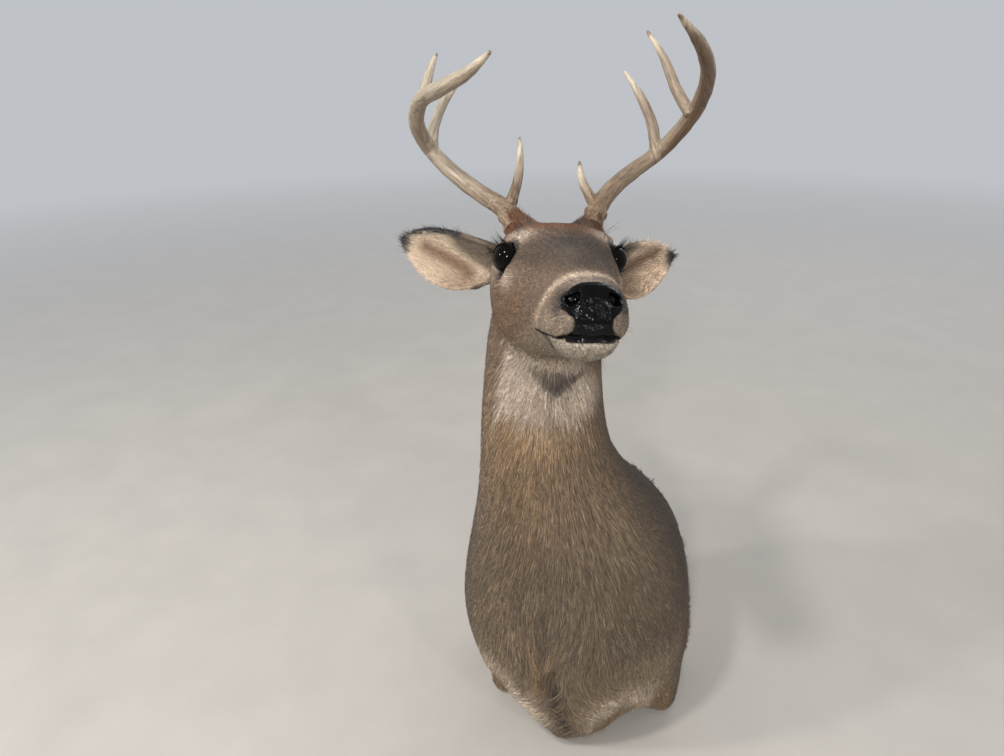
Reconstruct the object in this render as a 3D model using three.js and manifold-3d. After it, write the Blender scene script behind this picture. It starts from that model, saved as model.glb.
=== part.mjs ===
// Whitetail buck shoulder mount, life size, in millimetres with +Z up.
//
// The buck faces -Y and its left side is +X. The trunk is cut off behind the shoulders by a plane
// that leans back, with a plywood board let into it. The mount stands on the tip of its brisket,
// the stubs of its forelegs and the foot of that sloping back. The neck rises almost straight and
// the head turns to the buck's left with its nose raised.
//
// The outer surfaces are those of the hair tips. The flesh is lofted whole, joined, and then parted
// into trunk, neck, head and lower jaw by cuts a fraction of a millimetre wide.

import * as THREE from 'three';
import { LoftGeometry } from 'three/addons/geometries/LoftGeometry.js';
import { mergeVertices } from 'three/addons/utils/BufferGeometryUtils.js';
import Module from 'manifold-3d';

const wasm = await Module();
wasm.setup();

// ---------------------------------------------------------------- driving dimensions

const GAP = 0.3;                      // between pieces that touch
const FAR = 2000;                     // half size of the blocks that trim with one face

const BOARD_LEAN = 18;                // degrees that the back leans from upright
const BOARD_FOOT_Y = 108;             // where the plane of the board's back meets the floor
const BOARD_THICKNESS = 16;
const BOARD_PROUD = 3;                // board's back face beyond the hem of the hide
const BOARD_HALF_WIDTH = 102;
const BOARD_FOOT = 15;                // bottom edge above the floor, along the slope
const BOARD_TOP = 254;                // top of its arch, along the slope
const BOARD_SHOULDER = 128;           // where its straight sides end and the arch starts

const HANGER = { width: 70, height: 18, thickness: 2, middle: 214, teeth: 9, tooth: 4 };
const HANGER_POCKET = { margin: 3, depth: 3.4 };

const HEAD_PLACE = new THREE.Vector3(-34, 29, 564);       // midway between the eyes
const HEAD_TURN = { yaw: 27, nose_up: 17.4, tilt: 4 };    // degrees

const EYE_RADIUS = 15.5;
const EYE_PLACE = new THREE.Vector3(53, -3, 0);

const EAR_SLICES = 10;
const EAR_THICKNESS = 5;

const BURR_HEIGHT = 7;                // width of the knobbly ring at an antler's foot
const BURR_SHARE = 0.045;             // its place, as a share of the beam's length

const NAPE_CUT = { at: [0, 92, 0], normal: [0, -0.763, 0.646] };         // in the head's frame
const WITHERS_CUT = { at: [0, 150, 286], normal: [0, -0.36, 0.93] };     // in the mount's frame

// ---------------------------------------------------------------- small tools

const radians = THREE.MathUtils.degToRad;
const point = ([x, y, z]) => new THREE.Vector3(x, y, z);

// Turns rows of named numbers into a smooth function of the first one.
function stations(rows) {
  const [along, ...names] = Object.keys(rows[0]);
  const curve = new THREE.CubicInterpolant(
    rows.map((row) => row[along]),
    rows.flatMap((row) => names.map((name) => row[name])),
    names.length,
  );
  return (position) => {
    const values = curve.evaluate(position);
    return Object.fromEntries(names.map((name, i) => [name, values[i]]));
  };
}

// Cosine and sine raised to 2/power: a power of 2 gives an ellipse, more a boxier curve.
function rounded(value, power) {
  return Math.sign(value) * Math.abs(value) ** (2 / power);
}

function evenly(count, from, to) {
  return Array.from({ length: count }, (_, i) => from + ((to - from) * i) / (count - 1));
}

function solidOf(positions, corners) {
  return new wasm.Manifold(new wasm.Mesh({
    numProp: 3,
    vertProperties: Float32Array.from(positions),
    triVerts: Uint32Array.from(corners),
  }));
}

// A closed geometry with its shared corners merged, as manifold-3d wants it.
function toSolid(geometry) {
  const bare = new THREE.BufferGeometry().copy(geometry);
  for (const name of ['normal', 'uv']) bare.deleteAttribute(name);
  const merged = mergeVertices(bare, 1e-3);
  const corners = [];
  for (let i = 0; i < merged.index.count; i += 3) {
    const triangle = merged.index.array.slice(i, i + 3);
    if (new Set(triangle).size === 3) corners.push(...triangle);
  }
  return solidOf(merged.attributes.position.array, corners);
}

function toGeometry(solid) {
  const mesh = solid.getMesh();
  const geometry = new THREE.BufferGeometry();
  geometry.setAttribute('position', new THREE.BufferAttribute(mesh.vertProperties, mesh.numProp));
  geometry.setIndex(new THREE.BufferAttribute(mesh.triVerts, 1));
  return geometry;
}

function moved(solid, matrix) {
  const geometry = toGeometry(solid).applyMatrix4(matrix);
  return solidOf(geometry.attributes.position.array, geometry.index.array);
}

// The same solid with its surface moved out by a small distance.
function grown(solid, distance = GAP) {
  const geometry = toGeometry(solid);
  geometry.computeVertexNormals();
  const { position, normal } = geometry.attributes;
  for (let i = 0; i < position.count; i += 1) {
    const out = new THREE.Vector3().fromBufferAttribute(normal, i).multiplyScalar(distance);
    position.setXYZ(i, position.getX(i) + out.x, position.getY(i) + out.y, position.getZ(i) + out.z);
  }
  return solidOf(position.array, geometry.index.array);
}

// A block whose one face passes through `through`, square to `normal`, with the block on that side.
function halfSpace(through, normal) {
  const block = new THREE.BoxGeometry(2 * FAR, 2 * FAR, 2 * FAR).translate(0, 0, FAR);
  const turn = new THREE.Quaternion().setFromUnitVectors(
    new THREE.Vector3(0, 0, 1),
    normal.clone().normalize(),
  );
  block.applyQuaternion(turn);
  block.translate(through.x, through.y, through.z);
  return toSolid(block);
}

// Parts a solid in two at a plane, leaving the usual gap. The first piece is on the normal's side.
function parted(solid, through, normal) {
  const step = normal.clone().normalize().multiplyScalar(GAP / 2);
  const ahead = halfSpace(through.clone().add(step), normal);
  const behind = halfSpace(through.clone().sub(step), normal.clone().negate());
  return [solid.intersect(ahead), solid.intersect(behind)];
}

function box(size, middle) {
  return toSolid(new THREE.BoxGeometry(...size).translate(...middle));
}

// ---------------------------------------------------------------- trunk and neck

// Level slices of the body, from the floor to inside the head. x and y are the slice's middle,
// half its half width, front and back its reach each way, keel and square the powers of its front
// and back curves, and turn its twist in degrees towards the buck's left.
const bodySlice = stations([
  { z: 0, x: 4, y: 40, half: 111, front: 105, back: 120, keel: 1.23, square: 4, turn: 0 },
  { z: 18, x: 2, y: 38, half: 118, front: 117, back: 128, keel: 1.2, square: 4, turn: 0 },
  { z: 54, x: -5, y: 38, half: 129, front: 134, back: 248, keel: 1.42, square: 2.4, turn: 0 },
  { z: 99, x: -11, y: 38, half: 136, front: 149, back: 225, keel: 1.75, square: 2.2, turn: 0 },
  { z: 148, x: -15, y: 38, half: 138, front: 150, back: 205, keel: 1.9, square: 2.1, turn: 0 },
  { z: 198, x: -16, y: 38, half: 132, front: 138, back: 187, keel: 1.95, square: 2, turn: 1 },
  { z: 243, x: -22, y: 36, half: 117, front: 121, back: 166, keel: 2, square: 2, turn: 2 },
  { z: 288, x: -35, y: 32, half: 95, front: 106, back: 131, keel: 2, square: 1.9, turn: 4 },
  { z: 338, x: -48, y: 30, half: 77, front: 95, back: 101, keel: 2, square: 2, turn: 7 },
  { z: 387, x: -54, y: 34, half: 71, front: 86, back: 90, keel: 2.1, square: 2, turn: 12 },
  { z: 441, x: -58, y: 46, half: 67, front: 75, back: 81, keel: 2.1, square: 2, turn: 18 },
  { z: 490, x: -61, y: 62, half: 63, front: 60, back: 70, keel: 2, square: 2, turn: 24 },
  { z: 531, x: -66, y: 77, half: 50, front: 42, back: 50, keel: 2, square: 2, turn: 27 },
]);

const BODY_SIDES = 40;
const BODY_LEVELS = [0, 12, 28, 50, 76, 104, 134, 164, 194, 220, 244, 266, 288, 312, 340, 372,
  405, 437, 468, 500, 531];
const RIM_FADE = 80;                  // height by which the wavy lower edge has died out
// Arches in the lower edge of the coat, at angles in degrees from the front towards the left.
const ARCHES = [
  { rise: 44, angle: 50, spread: 9 },        // left armpit
  { rise: 52, angle: -62, spread: 20 },      // right armpit
  { rise: 12, angle: 103, spread: 12 },      // left flank, behind the stub
  { rise: 12, angle: -103, spread: 12 },     // right flank, behind the stub
];
const BELLY_HOLLOW = { middle: 5, around: 40 };  // how far the underside is drawn up inside the lower edge
const BELLY_HOLLOW_END = { from: 62, to: 90 };   // y over which it comes down to the foot of the back
const BELLY_RINGS = [0.02, 0.35, 0.7, 0.9];

// Height of the lower edge of the coat at an angle from the front: the tip of the brisket and the
// foot of the back reach the floor, with an armpit and a low flank arch between on each side.
function rimHeight(angle) {
  const degrees = THREE.MathUtils.radToDeg(angle);
  return ARCHES.reduce((height, { rise, angle: middle, spread }) => (
    height + rise * Math.exp(-(((degrees - middle) / spread) ** 2))
  ), 0);
}

function bodyPoint(angle, level) {
  const rim = rimHeight(angle);
  const z = level < RIM_FADE ? rim + (level * (RIM_FADE - rim)) / RIM_FADE : level;
  const slice = bodySlice(z);
  const ahead = Math.cos(angle) > 0;
  const power = ahead ? slice.keel : slice.square;
  const reach = ahead ? slice.front : slice.back;
  const spot = new THREE.Vector2(
    slice.half * rounded(Math.sin(angle), power),
    -reach * rounded(Math.cos(angle), power),
  ).rotateAround(new THREE.Vector2(), radians(slice.turn));
  return new THREE.Vector3(slice.x + spot.x, slice.y + spot.y, z);
}

function bodySolid() {
  const angles = Array.from({ length: BODY_SIDES }, (_, i) => -Math.PI + (2 * Math.PI * i) / BODY_SIDES);
  const belly = new THREE.Vector3(0, 50, 0);
  const underside = BELLY_RINGS.map((share) => angles.map((angle) => {
    const edge = bodyPoint(angle, 0);
    const spot = belly.clone().lerp(edge, share);
    const fade = 1 - THREE.MathUtils.smoothstep(spot.y, BELLY_HOLLOW_END.from, BELLY_HOLLOW_END.to);
    const hollow = (BELLY_HOLLOW.middle + BELLY_HOLLOW.around * share) * (1 - share);
    spot.z = edge.z * share + hollow * fade;
    return spot;
  }));
  const outside = BODY_LEVELS.map((level) => angles.map((angle) => bodyPoint(angle, level)));
  return toSolid(new LoftGeometry([...underside, ...outside], { capStart: true, capEnd: true }));
}

// ---------------------------------------------------------------- foreleg stubs

const STUB_RINGS = [[0, 0.93], [3, 0.99], [21, 1.03], [44, 1.12], [66, 0.95]];   // height, scale
const STUB_CUT = 21;                  // height of the level cut between a stub and the shoulder
const STUB_SIDES = 16;
const STUB_MARGIN = 2;
const STUBS = [
  { name: 'leg_stub_left', x: 103, y: 42, half_x: 20, half_y: 31 },
  { name: 'leg_stub_right', x: -91, y: 6, half_x: 24, half_y: 33 },
];

function stubSolid({ x, y, half_x, half_y }) {
  const ring = (z, scale) => Array.from({ length: STUB_SIDES }, (_, i) => {
    const angle = (2 * Math.PI * i) / STUB_SIDES;
    return new THREE.Vector3(
      x + half_x * scale * Math.cos(angle),
      y + half_y * scale * Math.sin(angle),
      z,
    );
  });
  const rings = STUB_RINGS.map(([z, scale]) => ring(z, scale));
  return toSolid(new LoftGeometry(rings, { capStart: true, capEnd: true }));
}

// The room below the cut that belongs to a stub: an upright oval prism a little wider than it.
function stubRoom({ x, y, half_x, half_y }, gap) {
  const prism = new THREE.CylinderGeometry(1, 1, 2 * (STUB_CUT + gap), 24).rotateX(Math.PI / 2);
  prism.scale(half_x + STUB_MARGIN + gap, half_y + STUB_MARGIN + gap, 1).translate(x, y, 0);
  return toSolid(prism);
}

// ---------------------------------------------------------------- back board

const boardUp = new THREE.Vector3(0, Math.sin(radians(BOARD_LEAN)), Math.cos(radians(BOARD_LEAN)));
const boardOut = new THREE.Vector3(0, Math.cos(radians(BOARD_LEAN)), -Math.sin(radians(BOARD_LEAN)));
const boardFoot = new THREE.Vector3(0, BOARD_FOOT_Y, 0);

// Carries x across, y up the slope and z out of the back, to the mount's own frame.
const boardFrame = new THREE.Matrix4()
  .makeBasis(new THREE.Vector3(-1, 0, 0), boardUp, boardOut)
  .setPosition(boardFoot);

function boardOutline() {
  const shape = new THREE.Shape();
  shape.moveTo(-BOARD_HALF_WIDTH + 6, BOARD_FOOT);
  shape.lineTo(BOARD_HALF_WIDTH - 6, BOARD_FOOT);
  shape.lineTo(BOARD_HALF_WIDTH, BOARD_SHOULDER * 0.5);
  shape.lineTo(BOARD_HALF_WIDTH, BOARD_SHOULDER);
  shape.absellipse(0, BOARD_SHOULDER, BOARD_HALF_WIDTH, BOARD_TOP - BOARD_SHOULDER, 0, Math.PI);
  shape.lineTo(-BOARD_HALF_WIDTH, BOARD_SHOULDER * 0.5);
  shape.closePath();
  return shape;
}

function boardSolid() {
  const plate = new THREE.ExtrudeGeometry(boardOutline(), {
    depth: BOARD_THICKNESS,
    bevelEnabled: false,
    curveSegments: 12,
  });
  return toSolid(plate.translate(0, 0, -BOARD_THICKNESS).applyMatrix4(boardFrame));
}

function hangerPocket() {
  const { margin, depth } = HANGER_POCKET;
  const size = [HANGER.width + 2 * margin, HANGER.height + 2 * margin, depth * 2];
  return toSolid(new THREE.BoxGeometry(...size).translate(0, HANGER.middle, 0).applyMatrix4(boardFrame));
}

// A flat steel plate with a row of teeth along its lower edge, lying in the floor of its pocket.
function hangerGeometry() {
  const { width, height, thickness, middle, teeth, tooth } = HANGER;
  const shape = new THREE.Shape();
  shape.moveTo(-width / 2, height / 2);
  shape.lineTo(-width / 2, -height / 2);
  const edge = width * 0.2;
  const pitch = (width - 2 * edge) / teeth;
  for (let i = 0; i < teeth; i += 1) {
    const left = -width / 2 + edge + i * pitch;
    shape.lineTo(left, -height / 2);
    shape.lineTo(left + pitch / 2, -height / 2 + tooth);
  }
  shape.lineTo(width / 2 - edge, -height / 2);
  shape.lineTo(width / 2, -height / 2);
  shape.lineTo(width / 2, height / 2);
  shape.closePath();
  const plate = new THREE.ExtrudeGeometry(shape, { depth: thickness, bevelEnabled: false });
  const floor = -HANGER_POCKET.depth + GAP;
  return plate.translate(0, middle, floor).applyMatrix4(boardFrame);
}

// ---------------------------------------------------------------- head

// Upright slices across the head, in its own frame: x to its left, y backwards, z up, the origin
// midway between the eyes. top and low bound the slice, wide is the level of its greatest width,
// crown and jaw are the powers of the curves above and below that level.
const headSlice = stations([
  { y: -178, top: -38, low: -66, wide: -52, half: 13, crown: 2.2, jaw: 2.2 },
  { y: -175, top: -31, low: -75, wide: -51, half: 21, crown: 2.4, jaw: 2.3 },
  { y: -168, top: -25, low: -84, wide: -51, half: 27, crown: 2.4, jaw: 2.2 },
  { y: -157, top: -20, low: -90, wide: -52, half: 32, crown: 2.3, jaw: 2.1 },
  { y: -140, top: -14, low: -92, wide: -53, half: 35, crown: 2.3, jaw: 2 },
  { y: -116, top: -5, low: -92, wide: -52, half: 37, crown: 2.3, jaw: 2 },
  { y: -90, top: 4, low: -91, wide: -48, half: 40, crown: 2.3, jaw: 2 },
  { y: -62, top: 13, low: -93, wide: -42, half: 46, crown: 2.3, jaw: 2 },
  { y: -36, top: 24, low: -97, wide: -32, half: 55, crown: 2.3, jaw: 2.1 },
  { y: -10, top: 33, low: -101, wide: -22, half: 64, crown: 2.3, jaw: 2.3 },
  { y: 12, top: 38, low: -103, wide: -20, half: 69, crown: 2.3, jaw: 2.5 },
  { y: 36, top: 38, low: -102, wide: -24, half: 69, crown: 2.3, jaw: 2.5 },
  { y: 58, top: 38, low: -95, wide: -26, half: 65, crown: 2.2, jaw: 2.3 },
  { y: 80, top: 34, low: -80, wide: -24, half: 54, crown: 2.1, jaw: 2.1 },
  { y: 98, top: 18, low: -60, wide: -20, half: 38, crown: 2, jaw: 2 },
]);

const HEAD_SIDES = 30;
const HEAD_CUTS = [-178, -176.5, -173, -167, -158, -145, -130, -112, -93, -74, -57, -42, -29, -17,
  -6, 5, 18, 32, 45, 59, 77, 98];

// Local swellings and hollows: where, how wide each way, and how far out (or in) the surface moves.
const HEAD_FEATURES = [
  { at: [62, -9, 1], spread: [24, 16, 12], lift: -9 },           // eye socket
  { at: [56, 6, 24], spread: [24, 22, 11], lift: 4 },            // brow
  { at: [31, 46, 37], spread: [10, 15, 20], lift: 17 },          // hair cone round a pedicle
  { at: [28, -148, -54], spread: [18, 20, 13], lift: 2 },        // whisker pad
];

function headPoint(y, angle) {
  const slice = headSlice(y);
  const above = Math.cos(angle) > 0;
  const power = above ? slice.crown : slice.jaw;
  const reach = above ? slice.top - slice.wide : slice.wide - slice.low;
  const spot = new THREE.Vector3(
    slice.half * rounded(Math.sin(angle), power),
    y,
    slice.wide + reach * rounded(Math.cos(angle), power),
  );
  const out = new THREE.Vector3(spot.x, 0, spot.z - slice.wide).normalize();
  for (const { at, spread, lift } of HEAD_FEATURES) {
    const away = [Math.abs(spot.x) - at[0], spot.y - at[1], spot.z - at[2]];
    const distance = away.reduce((sum, step, i) => sum + (step / spread[i]) ** 2, 0);
    spot.addScaledVector(out, lift * Math.exp(-distance));
  }
  return spot;
}

function headSolid() {
  const angles = Array.from({ length: HEAD_SIDES }, (_, i) => (2 * Math.PI * i) / HEAD_SIDES);
  const rings = HEAD_CUTS.map((y) => angles.map((angle) => headPoint(y, angle)));
  return toSolid(new LoftGeometry(rings, { capStart: true, capEnd: true }));
}

const NOSE_PLANE = { at: [0, -168, -26], normal: [0, -1, 0.12] };
const NOSE_LOWER_EDGE = -60;
const NOSTRIL = { at: [19, -181, -42], size: [7, 9, 5.5] };
const MOUTH_LEVEL = -73;
const MOUTH_CORNER = -98;
const JAW_BLOCK = 200;                // size of the block that cuts the lower jaw free

function nostrils() {
  return [-1, 1].map((side) => {
    const hole = new THREE.SphereGeometry(1, 10, 6).scale(...NOSTRIL.size);
    hole.rotateY(radians(side * 24)).translate(side * NOSTRIL.at[0], NOSTRIL.at[1], NOSTRIL.at[2]);
    return toSolid(hole);
  });
}

// ---------------------------------------------------------------- ears

// Slices across an ear from its root to its tip: half its width, the half angle of its curl, how
// far its middle bows back, and how far it sags below the straight line to its tip.
const earSlice = stations([
  { along: 0, half: 20, curl: 125, bow: 0, sag: 0 },
  { along: 0.15, half: 27, curl: 118, bow: 3, sag: 5 },
  { along: 0.32, half: 32, curl: 96, bow: 7, sag: 8 },
  { along: 0.5, half: 34, curl: 74, bow: 9, sag: 9 },
  { along: 0.68, half: 32, curl: 60, bow: 8, sag: 8 },
  { along: 0.85, half: 22, curl: 48, bow: 4, sag: 4 },
  { along: 0.95, half: 11, curl: 40, bow: 1, sag: 1 },
  { along: 1, half: 3, curl: 40, bow: -2, sag: 0 },
]);

const EARS = [
  { name: 'ear_left', root: [50, 66, -8], tip: [165, 156, 15], lip: [0.34, -0.9, -0.05] },
  { name: 'ear_right', root: [-50, 66, -5], tip: [-166, 152, 26], lip: [-0.34, -0.9, -0.05] },
];
const EAR_ARC = 7;

// A leaf rolled round its long axis, open towards `lip`.
function earSolid({ root, tip, lip }) {
  const foot = point(root);
  const axis = point(tip).sub(foot);
  const length = axis.length();
  axis.normalize();
  const squared = (direction) => direction.addScaledVector(axis, -direction.dot(axis)).normalize();
  const open = squared(point(lip));
  const down = squared(new THREE.Vector3(0, 0, -1));
  const across = new THREE.Vector3().crossVectors(open, axis);
  const rings = evenly(EAR_SLICES, 0, 1).map((share) => {
    const { half, curl, bow, sag } = earSlice(share);
    const bend = radians(curl);
    const radius = bend < Math.PI / 2 ? half / Math.sin(bend) : half;
    const wall = Math.min(EAR_THICKNESS, half * 0.8);
    const middle = foot.clone()
      .addScaledVector(axis, share * length)
      .addScaledVector(down, sag)
      .addScaledVector(open, radius * (1 + Math.cos(bend)) / 2 - bow);
    const arc = (r, spread) => evenly(EAR_ARC, -spread, spread).map((angle) => middle.clone()
      .addScaledVector(across, r * Math.sin(angle))
      .addScaledVector(open, -r * Math.cos(angle)));
    return [...arc(radius, bend), ...arc(radius - wall, bend * 0.96).reverse()];
  });
  return toSolid(new LoftGeometry(rings, { capStart: true, capEnd: true }));
}

// ---------------------------------------------------------------- antlers

// Routes in the head's frame, with the radius at each point; a fork is a share of the beam's length.
const BEAM_RADII = [11, 10, 9.2, 8.7, 8.5, 8.3, 7.9, 7.2, 5.4, 1.5];
const ANTLERS = [
  {
    side: 'left',
    beam: {
      route: [[41, 44, 38], [50, 58, 60], [69, 76, 83], [101, 101, 109], [127, 110, 128], [147, 76, 153],
        [152, 40, 171], [139, -18, 186], [116, -59, 197], [81, -101, 207]],
      radii: BEAM_RADII,
    },
    tines: [
      {
        name: 'brow_tine',
        fork: 0.1,
        route: [[47, 56, 60], [39, 60, 74], [32, 63, 88], [29, 67, 110]],
        radii: [7, 5.4, 4.2, 1.2],
      },
      {
        name: 'second_tine',
        fork: 0.37,
        route: [[125, 108, 126], [123, 113, 157], [108, 121, 196], [90, 128, 224]],
        radii: [7.2, 6.3, 5.2, 1.3],
      },
      {
        name: 'third_tine',
        fork: 0.57,
        route: [[148, 56, 162], [135, 65, 186], [119, 76, 229], [103, 83, 255]],
        radii: [7, 6.1, 4.6, 1.3],
      },
    ],
  },
  {
    side: 'right',
    beam: {
      route: [[-43, 44, 34], [-52, 58, 54], [-75, 76, 71], [-109, 101, 99], [-133, 110, 124],
        [-148, 70, 143], [-144, 34, 157], [-120, -27, 157], [-98, -72, 159], [-82, -110, 165]],
      radii: BEAM_RADII,
    },
    tines: [
      {
        name: 'brow_tine',
        fork: 0.1,
        route: [[-49, 55, 54], [-40, 60, 80], [-36, 64, 107], [-37, 67, 133]],
        radii: [7.2, 5.4, 4, 1.2],
      },
      {
        name: 'second_tine',
        fork: 0.38,
        route: [[-130, 108, 120], [-131, 115, 144], [-119, 124, 179], [-100, 133, 207]],
        radii: [7, 6, 5, 1.3],
      },
      {
        name: 'third_tine',
        fork: 0.59,
        route: [[-144, 37, 154], [-137, 49, 181], [-133, 59, 199], [-127, 70, 216]],
        radii: [6.6, 5.4, 4.2, 1.3],
      },
    ],
  },
];
const BEAM_SIDES = 10;
const TINE_SIDES = 8;
const BURR_SIDES = 12;
const BEAM_STEP = 18;                 // distance between slices of a beam
const TINE_STEP = 18;

// A round bar along a smooth route, from one share of its length to another.
function barSolid({ route, radii }, sides, step, from = 0, to = 1) {
  const curve = new THREE.CatmullRomCurve3(route.map(point), false, 'centripetal');
  const radius = new THREE.CubicInterpolant(evenly(radii.length, 0, 1), radii, 1);
  const slices = Math.max(3, Math.ceil((curve.getLength() * (to - from)) / step) + 1);
  const fine = 200;
  const frames = curve.computeFrenetFrames(fine, false);
  const rings = evenly(slices, from, to).map((share) => {
    const middle = curve.getPointAt(share);
    const k = Math.round(share * fine);
    const size = radius.evaluate(share)[0];
    return Array.from({ length: sides }, (_, i) => {
      const angle = (2 * Math.PI * i) / sides;
      return middle.clone()
        .addScaledVector(frames.normals[k], size * Math.cos(angle))
        .addScaledVector(frames.binormals[k], size * Math.sin(angle));
    });
  });
  const solid = toSolid(new LoftGeometry(rings, { capStart: true, capEnd: true }));
  return { solid, length: curve.getLength() };
}

// The knobbly ring round an antler's foot.
function burrSolid({ route }) {
  const curve = new THREE.CatmullRomCurve3(route.map(point), false, 'centripetal');
  const middle = curve.getPointAt(BURR_SHARE);
  const profile = [[0, -0.5], [11.2, -0.5], [12.8, 0], [11, 0.5], [0, 0.5]];
  const ring = new THREE.LatheGeometry(
    profile.map(([radius, height]) => new THREE.Vector2(radius, height * BURR_HEIGHT)),
    BURR_SIDES,
  );
  const turn = new THREE.Quaternion().setFromUnitVectors(
    new THREE.Vector3(0, 1, 0),
    curve.getTangentAt(BURR_SHARE),
  );
  return toSolid(ring.applyQuaternion(turn).translate(middle.x, middle.y, middle.z));
}

// Every piece of one antler, as [name, solid], clear of the head.
function antlerPieces({ side, beam, tines }, headGrown) {
  const length = barSolid(beam, BEAM_SIDES, BEAM_STEP).length;
  const half = GAP / 2 / length;
  const ends = [0, ...tines.map((tine) => tine.fork), 1];
  const names = ['base', 'beam_lower', 'beam_middle', 'beam_tip'];
  const spans = names.map((name, i) => {
    const from = ends[i] + (i > 0 ? half : 0);
    const to = ends[i + 1] - (i < names.length - 1 ? half : 0);
    let { solid } = barSolid(beam, BEAM_SIDES, BEAM_STEP, from, to);
    if (i === 0) solid = solid.add(burrSolid(beam)).subtract(headGrown);
    return [`antler_${side}_${name}`, solid];
  });
  const cutters = spans.map(([, solid]) => grown(solid));
  const spikes = tines.map((tine, i) => {
    const { solid } = barSolid(tine, TINE_SIDES, TINE_STEP);
    return [`antler_${side}_${tine.name}`, solid.subtract(cutters[i]).subtract(cutters[i + 1])];
  });
  return [...spans, ...spikes];
}

// ---------------------------------------------------------------- materials

const finish = (color, roughness, metalness = 0) => (
  new THREE.MeshStandardMaterial({ color, roughness, metalness })
);
const materials = {
  coat: () => finish(0x8a7763, 0.9),
  ear: () => finish(0xb59c84, 0.9),
  nose: () => finish(0x17181a, 0.35),
  eye: () => finish(0x0b0807, 0.06),
  antler: () => finish(0xc2ad8c, 0.5),
  board: () => finish(0xc29a66, 0.75),
  steel: () => finish(0x9a9da0, 0.35, 1),
};

// ---------------------------------------------------------------- assembly

const mount = new THREE.Group();
const head = new THREE.Group();
head.position.copy(HEAD_PLACE);
head.rotation.set(radians(-HEAD_TURN.nose_up), radians(HEAD_TURN.tilt), radians(HEAD_TURN.yaw), 'ZXY');
mount.add(head);
mount.updateMatrixWorld(true);
const headToMount = head.matrixWorld.clone();
const mountToHead = headToMount.clone().invert();

// Adds the largest body of a solid to a group as a named mesh.
function place(group, name, solid, material) {
  const bodies = solid.decompose().sort((a, b) => b.volume() - a.volume());
  const mesh = new THREE.Mesh(toGeometry(bodies[0]), material);
  mesh.name = name;
  group.add(mesh);
}

const headOwn = headSolid();
const headGrown = grown(headOwn);

const board = boardSolid();
const hemPlane = boardFoot.clone().addScaledVector(boardOut, -BOARD_PROUD);
const floor = halfSpace(new THREE.Vector3(0, 0, 0), new THREE.Vector3(0, 0, 1));
let flesh = bodySolid();
for (const stub of STUBS) flesh = flesh.add(stubSolid(stub));
flesh = flesh.intersect(floor).intersect(halfSpace(hemPlane, boardOut.clone().negate()));
flesh = flesh.subtract(grown(board)).add(moved(headOwn, headToMount));

// head, parted from the neck behind the ears and the jaw
const [fleshHead, fleshBody] = parted(
  flesh,
  point(NAPE_CUT.at).applyMatrix4(headToMount),
  point(NAPE_CUT.normal).transformDirection(headToMount),
);

// trunk, parted from the neck from the withers down to the front of the chest
const [neck, shoulders] = parted(fleshBody, point(WITHERS_CUT.at), point(WITHERS_CUT.normal));

let trunk = shoulders;
for (const stub of STUBS) {
  place(mount, stub.name, shoulders.intersect(stubRoom(stub, 0)), materials.coat());
  trunk = trunk.subtract(stubRoom(stub, GAP));
}
place(mount, 'trunk', trunk, materials.coat());
place(mount, 'neck', neck, materials.coat());
place(mount, 'back_board', board.subtract(hangerPocket()), materials.board());
const hanger = new THREE.Mesh(hangerGeometry(), materials.steel());
hanger.name = 'wall_hanger';
mount.add(hanger);

// face, in the head's own frame
let face = moved(fleshHead, mountToHead);
for (const side of [-1, 1]) {
  const middle = EYE_PLACE.clone().multiply(new THREE.Vector3(side, 1, 1));
  const ball = (radius) => toSolid(new THREE.SphereGeometry(radius, 14, 9).translate(...middle));
  face = face.subtract(ball(EYE_RADIUS + 2 * GAP));
  place(head, side > 0 ? 'eye_left' : 'eye_right', ball(EYE_RADIUS), materials.eye());
}
const [noseBlock] = parted(face, point(NOSE_PLANE.at), point(NOSE_PLANE.normal));
const [nose] = parted(noseBlock, point([0, 0, NOSE_LOWER_EDGE]), new THREE.Vector3(0, 0, 1));
const lipRoom = halfSpace(point([0, 0, NOSE_LOWER_EDGE - GAP]), new THREE.Vector3(0, 0, 1));
const noseRoom = lipRoom.intersect(halfSpace(point(NOSE_PLANE.at), point(NOSE_PLANE.normal)));
face = face.subtract(noseRoom);
let pad = nose;
for (const hole of nostrils()) pad = pad.subtract(hole);
place(head, 'nose_pad', pad, materials.nose());

const jawRoom = (gap) => box(
  [JAW_BLOCK, JAW_BLOCK, JAW_BLOCK],
  [0, MOUTH_CORNER - JAW_BLOCK / 2 + gap, MOUTH_LEVEL - JAW_BLOCK / 2 + gap],
);
place(head, 'lower_jaw', face.intersect(jawRoom(0)), materials.coat());
face = face.subtract(jawRoom(GAP));
place(head, 'head', face, materials.coat());

const neckInHead = grown(moved(neck, mountToHead));
for (const ear of EARS) {
  const solid = earSolid(ear).subtract(headGrown).subtract(neckInHead);
  place(head, ear.name, solid, materials.ear());
}
for (const antler of ANTLERS) {
  for (const [name, solid] of antlerPieces(antler, headGrown)) place(head, name, solid, materials.antler());
}

// the origin is under the middle of the whole, at floor level
mount.updateMatrixWorld(true);
const bounds = new THREE.Box3().setFromObject(mount, true);
const middle = bounds.getCenter(new THREE.Vector3());
mount.position.set(-middle.x, -middle.y, -bounds.min.z);

export default mount;
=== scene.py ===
"""The looks of a whitetail buck shoulder mount: skin, coat, eyes, nose, antlers and back board.

Lengths are in millimetres, and become metres where a mesh or the camera is made. Only the lamps,
the materials, the camera's nearest distance and the floor's fading edge are given in metres.
Two frames are used: the mount's own (x to the buck's left, y backwards, z up), and the head's,
which is turned with the head and has its origin midway between the eyes. The head's places are
given for its left side and mirrored.
"""

import math

import bpy
import numpy as np
from mathutils import Matrix, Vector
from mathutils.bvhtree import BVHTree
from numpy.linalg import norm, svd


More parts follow.
